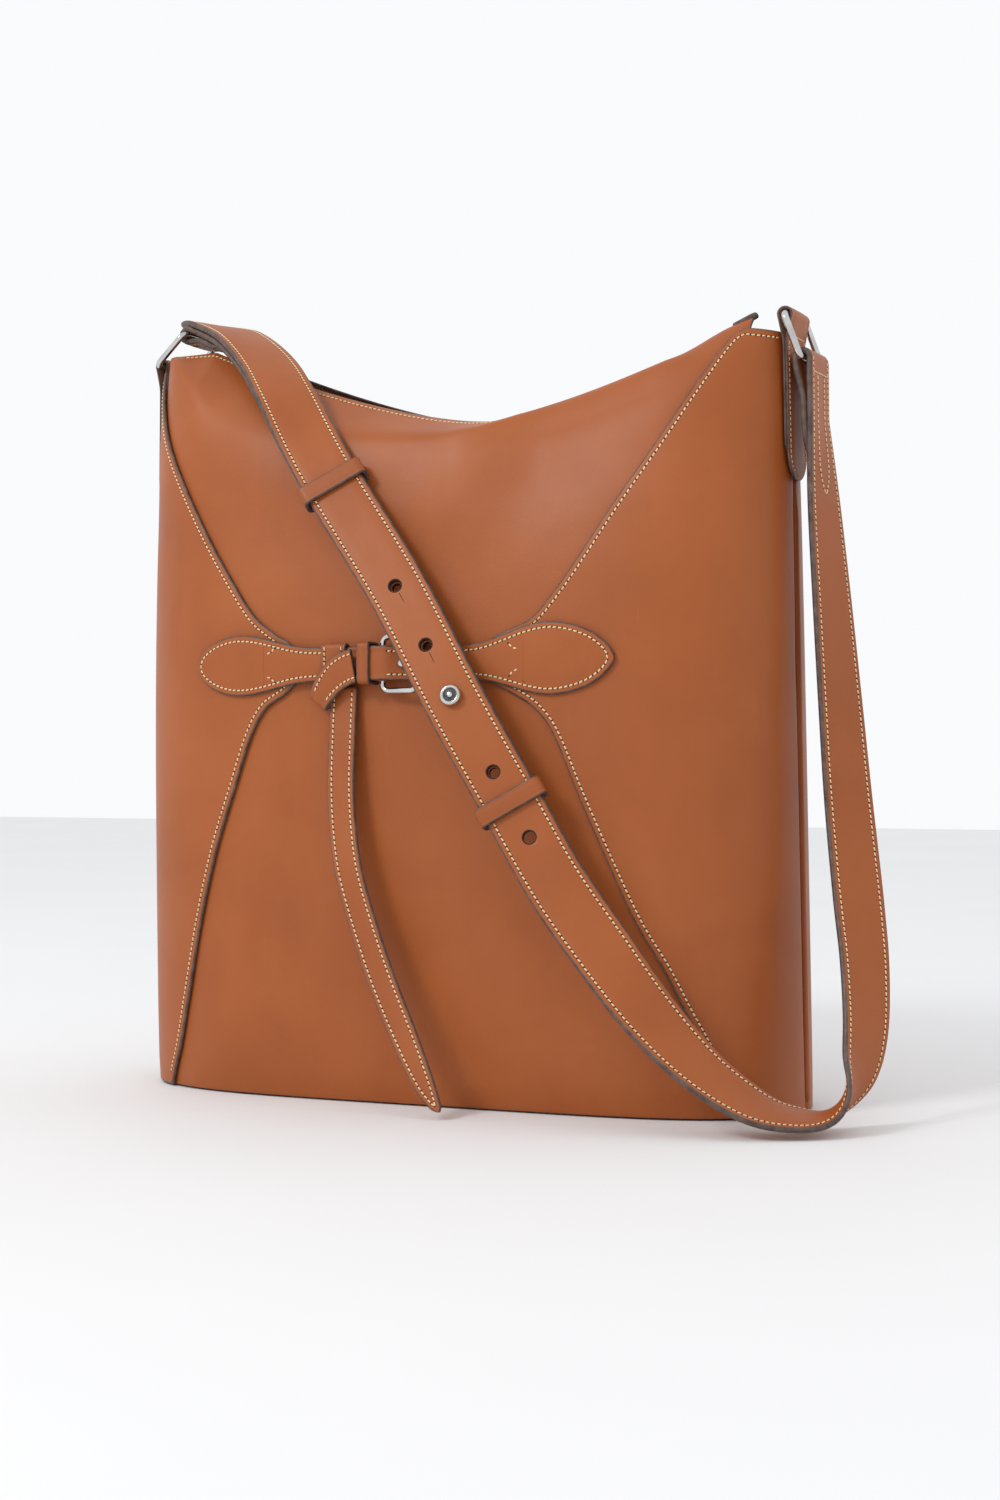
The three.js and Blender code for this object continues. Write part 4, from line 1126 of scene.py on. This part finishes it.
def hole_rims():
    """The darkened rim round each hole, and the short slit that lets it over the stud; the slit's near-black
    is painted shade in the cut.
    """
    rings, faces, count = [], [], 0
    profile = [(2.82, -0.5), (2.9, 0.02), (3.15, 0.07), (3.45, 0.02), (3.5, -0.3)]
    for point, side, normal in hole_stations([z for z in HOLE_HEIGHTS if z != STUD_Z]):
        along = np.cross(side, normal)
        top = STRAP_THICK / 2 + 0.16
        for r, h in profile:
            rings.append(circle(point + normal * (top + h), side, along, r))
        faces += [tuple(count + i for i in face) for face in loft_faces(len(profile), CIRCLE_SIDES)[:-2]]
        count += len(profile) * CIRCLE_SIDES
        down = -along if along[2] > 0 else along
        for d in np.linspace(2.8, 10, 9):
            half = 0.17 * math.sqrt(max(0.02, 1 - ((d - 2.8) / 7.2) ** 4))
            rings.append([point + down * d + side * w + normal * (top + lift)
                          for w, lift in ((-half, 0.01), (-half, -0.4), (half, -0.4), (half, 0.01))])
        faces += [tuple(count + i for i in face) for face in loft_faces(9, 4)]
        count += 9 * 4
    piece = make_mesh("strap_hole_rims", np.vstack(rings), faces, [HOLE_SHADE_AND_RIM])
    settle(piece, "strap", "saddle_leather")


def straps():
    route = long_strap_route()
    width = rounded_half(STRAP_HALF, 14, 14, route.length)
    piece = strap("long_strap_leather", route, width, STRAP_THICK, [TAN, PAINT, TAN], 1.6, 24, 14, 14)
    cut_holes(piece, hole_stations(HOLE_HEIGHTS), HOLE_RADIUS)
    settle(piece, "strap", "saddle_leather", "long_strap")
    for face, high in ((1, RUN.length - 22), (-1, RUN.length + 27)):
        edge_rows("stitches_strap", route, width, face, STRAP_THICK, 0, high, tip_low=True)
    tack = RUN.length + 20
    corner = STRAP_HALF - STITCH_INSET
    fold_columns = [(tack - 1, 5), (tack - 42, 5), (tack - 50, 3.2), (tack - 56, 0), (tack - 50, -3.2),
                    (tack - 42, -5), (tack - 1, -5)]
    for points in (fold_columns, [(tack, corner), (tack, -corner)]):
        flat = resampled(np.array(points, float), 0.6)
        stitch_row("stitches_strap", route.at(flat[:, 0], flat[:, 1], -STRAP_THICK / 2),
                   -route.normal(flat[:, 0]))
    under = short_strap_route()
    width = rounded_half(STRAP_HALF, 12, 12, under.length)
    piece = strap("short_strap_leather", under, width, STRAP_THICK, [TAN, PAINT, TAN], 2.0, 20, 12, 12)
    cut_holes(piece, hole_stations([z for z in HOLE_HEIGHTS if z > 130]), HOLE_RADIUS - 0.6)
    settle(piece, "strap", "saddle_leather", "short_strap")
    for face in (1, -1):
        edge_rows("stitches_strap", under, width, face, STRAP_THICK, 0, under.length,
                  tip_low=True, tip_high=True)
    hole_rims()


def strap_keeper(name, z, body):
    u = run_at_height(z)
    side, normal = RUN.of(RUN.sides, u), RUN.normal(u)
    half, low, high, corner = 15.75, -6.15, 3.2, 1.9
    thickness, length = 1.9, 9
    loop = rounded_loop(side, normal, RUN.at(u), half, low, high, corner)
    piece = band(name + "_band", loop, np.cross(side, normal), thickness, length, BAND_LOOKS)
    settle(piece, body, "keeper_leather", name)


def stud():
    u = run_at_height(STUD_Z)
    side, normal = RUN.of(RUN.sides, u), RUN.normal(u)
    top = STRAP_THICK / 2
    profile = [(0.02, -1.4), (2.3, -1.4), (2.3, top + 0.3), (3.6, top + 0.5), (4.5, top + 0.95),
               (4.85, top + 1.5), (4.95, top + 2.2), (4.85, top + 2.9), (4.55, top + 3.5),
               (4.1, top + 3.95), (3.7, top + 4.1),
               (3.4, top + 4.05), (3.2, top + 3.8), (3.12, top + 3.5), (2.9, top + 3.46), (1.4, top + 3.5),
               (1.1, top + 3.62), (0.02, top + 3.68)]
    marks = [0] * 13 + [1] * 3 + [0]
    along = np.cross(side, normal)
    piece = turned("stud_head", profile, RUN.at(u), side, normal, along, [STEEL, RECESS], marks)
    settle(piece, "strap", "polished_steel", "stud_knob")


# ---------------------------------------------------------------- rings, tabs and snaps
def ring_wire(name, pivot, angle):
    outward = vec(math.cos(angle), 0, math.sin(angle))
    half, r, wire_radius = 17.2, 3.1, 1.6
    centre = []
    for y, u, start in ((half - r, r, -90), (half - r, RING_SPAN - r, 0),
                        (r - half, RING_SPAN - r, 90), (r - half, r, 180)):
        for turn in np.radians(np.linspace(start, start + 90, 12)):
            centre.append(pivot + vec(0, y + r * math.cos(turn), 0) + outward * (u + r * math.sin(turn)))
    centre = resampled(np.vstack([centre, centre[:1]]), 0.8)[:-1]
    settle(wire(name + "_wire", centre, wire_radius, [STEEL], 24), name, "polished_steel", name)


def side_x(side, z):
    return lean_at(z) + side * (half_width(z) + WING_LIFT + LEATHER + 0.2)


def side_tab(side, pivot):
    """A doubled strip: up the bag's side, round the ring's bar and down again."""
    foot, top = 289.6, pivot[2]
    leaf, layer = 1.2, 0.6
    profile = [(layer, foot), (layer, 300), (layer, 320), (layer, top - 18), (layer + 0.1, top - 12),
               (1.5, top - 7.5)]
    profile += [(3.2 * math.cos(a), top + 3.2 * math.sin(a)) for a in np.radians(np.arange(-30, 211, 24))]
    profile += [(-o, z) for o, z in profile[5:0:-1]]
    points = []
    for out, z in catmull(profile, 10):
        middle = side_x(side, min(z, top - 4.4)) + side * 0.6
        points.append((middle + side * out, 0, z))
    route = Ribbon(points, [(0, -side, 0)] * len(points), 0.8)
    width = rounded_half(STRAP_HALF, 14, 6, route.length)
    name = "right_tab" if side > 0 else "left_tab"
    piece = strap(name + "_leather", route, width, leaf, LEATHER_LOOKS, 1.2, 20, 14, 6, 0.7)
    settle(piece, "bag", "saddle_leather", name)
    high = top - 9 - foot
    edge_rows("stitches_body", route, width, 1, leaf, 0, high, tip_low=True)
    v = np.linspace(-STRAP_HALF + STITCH_INSET, STRAP_HALF - STITCH_INSET, 40)
    stitch_row("stitches_body", route.at(np.full(40, high), v, leaf / 2), route.normal(np.full(40, high)))


SNAP_Z = 296.0


def snap_disc(name, face, profile):
    inward = -wall_normal(face, 0.0, SNAP_Z)
    origin = off_wall(face, np.array(0.0), np.array(SNAP_Z), -4.7)
    side = vec(1, 0, 0)
    piece = turned(name + "_disc", profile, origin, side, inward, np.cross(side, inward), [STEEL])
    settle(piece, "bag", "polished_steel", name)


# ---------------------------------------------------------------- belt, buckle and tie
def belt_ribbon(rows, step=0.8, sides=None):
    """A ribbon over the front wall; rows are x, z, lift from the wall and half width."""
    rows = np.array(rows, float)
    dense = catmull(rows, 30)
    points = off_wall(-1, share_at(dense[:, 0], dense[:, 1]), dense[:, 1], dense[:, 2])
    across = np.tile(vec(0, 0, 1), (len(dense), 1)) if sides is None else catmull(sides, 30)
    route = Ribbon(points, across, step)
    run, half = lengths_along(points), dense[:, 3]
    return route, lambda u: np.maximum(0.3, np.interp(u, run, half))


def leather_leaf(name, route, width, looks, steps):
    """A belt-thick piece of leather along a route."""
    rings, marks = strap_rings(route, width, steps, BELT_THICK, 18, 0.75, groove=0.15, crown=0.12)
    return loft(name, rings, looks, marks)


BELT_CENTRE = BELT_INNER + BELT_THICK / 2
BAR_X, FAR_X, BAR_LIFT, FAR_LIFT, BUCKLE_HALF = -15.5, 3, 5.4, 7.6, 12.5
BELT_OVER_BAR = 9.9
BELT_WALL_Y = float(wall_point(-1, share_at(BAR_X, BELT_Z), BELT_Z)[1])


def belt_crease(name, route, u, half):
    """The low ridge pressed across the belt where the layer under it ends."""
    along, height = np.array([(-1.1, -0.3), (-0.5, 0.14), (0, 0.24), (0.5, 0.14), (1.1, -0.3), (0, -0.5)]).T
    rings = []
    for v in np.linspace(-half, half, 24):
        rings.append(route.at(u + along, v, BELT_THICK / 2 + 0.08 + height - 0.2 * (v / half) ** 6))
    settle(loft(name, np.array(rings), [TAN]), "bag", "saddle_leather")


def hook_stitches(route, u, v, way):
    """The edge stitching's end, turned in for two stitches."""
    for side in (-1, 1):
        turns = [(u, side * v), (u + way * 2, side * (v - 2.2)), (u + way * 4.4, side * (v - 2.8))]
        line = resampled(np.array(turns), 0.6)
        points = route.at(line[:, 0], line[:, 1], BELT_THICK / 2)
        stitch_row("stitches_body", points, route.normal(line[:, 0]), 2.2)


def belt_left():
    halves = [[-118, 0.5], [-117.7, 2], [-116.9, 3.9], [-115.4, 6], [-113, 8.1], [-109.5, 10.3], [-105, 12.2],
              [-99.5, 13.7], [-94, 14.3], [-86, 13.9], [-76, 12], [-66, 9.6], [-58, 8.4], [-50, 8],
              [-38, 8], [-27.2, 8]]
    route, width = belt_ribbon([[x, BELT_Z, BELT_CENTRE, half] for x, half in halves])
    steps = np.unique(np.concatenate([np.linspace(0, 5, 22), np.linspace(5, route.length, 80)]))
    piece = leather_leaf("belt_left_leather", route, width, LEATHER_LOOKS, steps)
    settle(piece, "bag", "saddle_leather", "belt_left_tab")
    belt_crease("belt_left_crease", route, 39.5, 10)
    hook_stitches(route, 46, 8.2, -1)
    edge_rows("stitches_body", route, width, 1, BELT_THICK, 0, route.length - 18, 2.6, tip_low=True)


def belt_right():
    places = [
        [-26.6, 206, BELT_OVER_BAR - 0.3, 8], [-21, 206, BELT_OVER_BAR, 8], [-16, 206, BELT_OVER_BAR, 8],
        [-12, 206, 9.4, 8], [-7, 206, 7, 8], [-2, 206, 5.2, 8], [3, 206, 4.2, 8], [10, 206, BELT_CENTRE, 8],
        [24, 206, BELT_CENTRE, 8], [34, 206.3, BELT_CENTRE, 8.6], [44, 206.8, BELT_CENTRE, 11.2],
        [55, 207.2, BELT_CENTRE, 14.6], [66, 207.4, BELT_CENTRE, 16.5], [76, 207.4, BELT_CENTRE, 15.6],
        [85, 207.4, BELT_CENTRE, 12.8], [91, 207.4, BELT_CENTRE, 9.2], [94.5, 207.4, BELT_CENTRE, 6],
        [96.3, 207.4, BELT_CENTRE, 3.6], [97.1, 207.4, BELT_CENTRE, 1.8], [97.4, 207.4, BELT_CENTRE, 0.5],
    ]
    route, width = belt_ribbon(places)
    length = route.length
    steps = np.unique(np.concatenate([np.linspace(0, length - 5, 100), np.linspace(length - 5, length, 22)]))
    piece = leather_leaf("belt_right_leather", route, width, LEATHER_LOOKS, steps)
    settle(piece, "bag", "saddle_leather", "belt_right_strap")
    belt_crease("belt_right_crease", route, length - 43, 10.5)
    hook_stitches(route, length - 50, 7.4, 1)
    edge_rows("stitches_body", route, width, 1, BELT_THICK, 15, length, 2.6, tip_high=True)


def belt_band(name, x, half, low, high, wall, length):
    share = share_at(x, BELT_Z)
    origin, normal = wall_point(-1, share, BELT_Z), wall_normal(-1, share, BELT_Z)
    side = vec(0, 0, 1)
    loop = rounded_loop(side, normal, origin, half + wall / 2, low - wall / 2, high + wall / 2, 1.7)
    across = np.cross(side, normal)
    return band(name + "_band", loop, across, wall, length, BAND_LOOKS), origin, normal, across


def belt_loop():
    piece, origin, normal, across = belt_band("belt_loop", -41, 8.4, 2.6, 5.3, 1.5, 13)
    settle(piece, "bag", "saddle_leather", "belt_loop")
    for place in (-4.4, 4.4):
        points = [origin + across * place + vec(0, 0, h) + normal * 6.8 for h in np.linspace(-8.2, 8.2, 20)]
        stitch_row("stitches_body", points, [normal] * 20, 2.3)


def buckle():
    piece = belt_band("belt_keeper", -22.6, 8.5, 1.9, 11.3, 1.5, 6.2)[0]
    settle(piece, "bag", "keeper_leather", "belt_keeper")
    half, r = BUCKLE_HALF, 3.5
    slope = (FAR_LIFT - BAR_LIFT) / (FAR_X - BAR_X)
    centre = []
    for x, z, start in ((FAR_X - r, half - r, 0), (BAR_X + r, half - r, 90),
                        (BAR_X + r, r - half, 180), (FAR_X - r, r - half, 270)):
        for turn in np.radians(np.linspace(start, start + 90, 12)):
            bend_x = x + r * math.cos(turn)
            bend_y = BELT_WALL_Y - BAR_LIFT - slope * (bend_x - BAR_X)
            centre.append((bend_x, bend_y, BELT_Z + z + r * math.sin(turn)))
    centre = resampled(np.vstack([centre, centre[:1]]), 0.7)[:-1]
    settle(wire("buckle_frame_wire", centre, 1.4, [STEEL], 24), "bag", "polished_steel", "buckle_frame")
    path = [(2.05 * math.cos(a), 2.05 * math.sin(a)) for a in np.radians(np.arange(300, 59, -20))]
    path += [(3.4, 0.9), (7.2, 1.8), (10.6, 3.75), (14.5, 4.45), (19.3, 4.7)]
    flat = resampled(catmull(path, 12), 0.4)
    centre = np.array([(BAR_X + u, BELT_WALL_Y - BAR_LIFT - h, BELT_Z) for u, h in flat])
    share = np.linspace(0, 1, len(centre))
    radius = 0.5 + 0.25 * smooth(0.5, 0.75, share) - 0.3 * smooth(0.94, 1, share)
    prong = wire("prong_wire", centre, radius, [STEEL], 18, False, 2.2)
    settle(prong, "buckle_prong", "polished_steel", "buckle_prong")


def tie_knot():
    rows = [
        [-28.7, 204.8, BELT_OVER_BAR - 0.4, 8], [-32, 204, 9.2, 8], [-37, 201.5, 8.7, 7.8],
        [-41.5, 197.5, 8.5, 7.2], [-45, 193, 8.3, 6.4], [-47.2, 189.8, 7.6, 5.8],
        [-48.4, 188, 6.4, 5.5], [-48, 188.4, 5, 5.3],
        [-46, 191, 4.4, 5.3],
    ]
    sides = [(0, 0, -1), (0.1, 0, -1), (0.4, 0, -0.9), (0.65, 0, -0.75), (0.75, 0, -0.65), (0.8, 0, -0.6),
             (0.8, 0, -0.6), (0.8, 0, -0.6), (0.8, 0, -0.6)]
    route, width = belt_ribbon(rows, 0.6, sides)
    steps = np.linspace(0, route.length, 60)
    piece = leather_leaf("tie_knot_leather", route, width, TIE_LOOKS, steps)
    settle(piece, "bag", "tie_leather", "tie_knot")
    edge_rows("stitches_body", route, width, 1, BELT_THICK, 0, route.length - 9, 2.4)


TIE_TAIL = [
    [-36.5, -66, 195.3, 7], [-36.5, -66.3, 190, 7], [-36.5, -66.8, 184.5, 7], [-36, -69, 170, 7],
    [-35.3, -71.5, 150, 7], [-33, -74, 130, 7], [-28.5, -77, 110, 7], [-20.5, -79.5, 88, 7],
    [-8.5, -83, 61, 7], [5.5, -87, 35, 6.6], [15.5, -90, 17.5, 5.4], [21.5, -91.6, 8.5, 3.6],
    [24.4, -92.3, 5, 2], [25.4, -92.5, 3.7, 0.4],
]


def tie_tail():
    dense = catmull(TIE_TAIL, 30)
    route = Ribbon(dense[:, :3], np.tile(vec(1, 0, 0), (len(dense), 1)), 0.8)
    run = lengths_along(dense[:, :3])

    def width(u):
        return np.interp(u, run, dense[:, 3])

    length = route.length
    steps = np.unique(np.concatenate([np.linspace(0, length - 6, 130), np.linspace(length - 6, length, 14)]))
    piece = leather_leaf("tie_tail_leather", route, width, TIE_LOOKS, steps)
    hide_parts("tie_root", "tie_tail")
    edge_rows("stitches_tail", route, width, 1, BELT_THICK, 2, length, 2.4, tip_high=True)
    rows = make_stitches("stitches_tail", None)
    for bending in (piece, rows):
        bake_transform(bending)


# ---------------------------------------------------------------- the whole bag
wing(-1)
wing(1)
front_panel()
back_panel()
base_panel()
lining()
pocket()
seam_piping(-1)
seam_piping(1)
straps()
strap_keeper("upper_keeper", UPPER_KEEPER_Z, "upper_keeper")
strap_keeper("lower_keeper", LOWER_KEEPER_Z, "strap")
stud()
ring_wire("ring_left", PIVOT_LEFT, RING_LEFT_ANGLE)
ring_wire("ring_right", PIVOT_RIGHT, RING_RIGHT_ANGLE)
side_tab(-1, PIVOT_LEFT)
side_tab(1, PIVOT_RIGHT)
SNAP_RIM = [(0.02, 0), (8.6, 0), (9, 0.4), (9, 1.5), (8.7, 2), (8.2, 2.2)]
snap_disc("snap_male", -1, SNAP_RIM + [(3.4, 2.2), (3.2, 2.4), (3.2, 3.4), (2.8, 3.8), (0.02, 3.8)])
snap_disc("snap_female", 1, SNAP_RIM + [(4.1, 2.2), (3.8, 2), (3.8, 1.2), (3.5, 1), (0.02, 1)])
belt_left()
belt_right()
belt_loop()
buckle()
tie_knot()
tie_tail()
rim_end()
make_stitches("stitches_body", "bag")
make_stitches("stitches_strap", "strap")
for node, look in (("base_board", BOARD), ("buckle_tab", TAN_BAND), ("stud_base", STEEL)):
    for place in frame["nodes"][node].material_slots:
        place.material = look


# ---------------------------------------------------------------- floor and light
def floor():
    size, level = 4000, -0.2
    corners = [(-size, -size, level), (size, -size, level), (size, size, level), (-size, size, level)]
    piece = make_mesh("floor", corners, [(0, 1, 2, 3)], [])
    look = Look("floor_paper", 0.8)
    colour = look.ramp(look.noise(3, 3), (0.3, (0.80, 0.80, 0.80, 1)), (0.7, (0.82, 0.82, 0.82, 1)))
    piece.data.materials.append(look.finish(colour))


def softbox(name, place, aim, width, height, power):
    light = bpy.data.lights.new(name, "AREA")
    light.shape = "RECTANGLE"
    light.size = width
    light.size_y = height
    light.energy = power
    lamp = bpy.data.objects.new(name, light)
    lamp.location = place
    lamp.rotation_euler = (Vector(aim) - Vector(place)).to_track_quat("-Z", "Y").to_euler()
    bpy.context.scene.collection.objects.link(lamp)


floor()
world = bpy.data.worlds.new("studio")
bpy.context.scene.world = world
world.use_nodes = True
world.node_tree.nodes["Background"].inputs["Color"].default_value = (0.97, 0.98, 1, 1)
world.node_tree.nodes["Background"].inputs["Strength"].default_value = 0.98
bpy.context.scene.view_settings.view_transform = "Standard"
softbox("key", (-0.9, -1.9, 1.7), (0, 0, 0.15), 0.6, 0.6, 24)
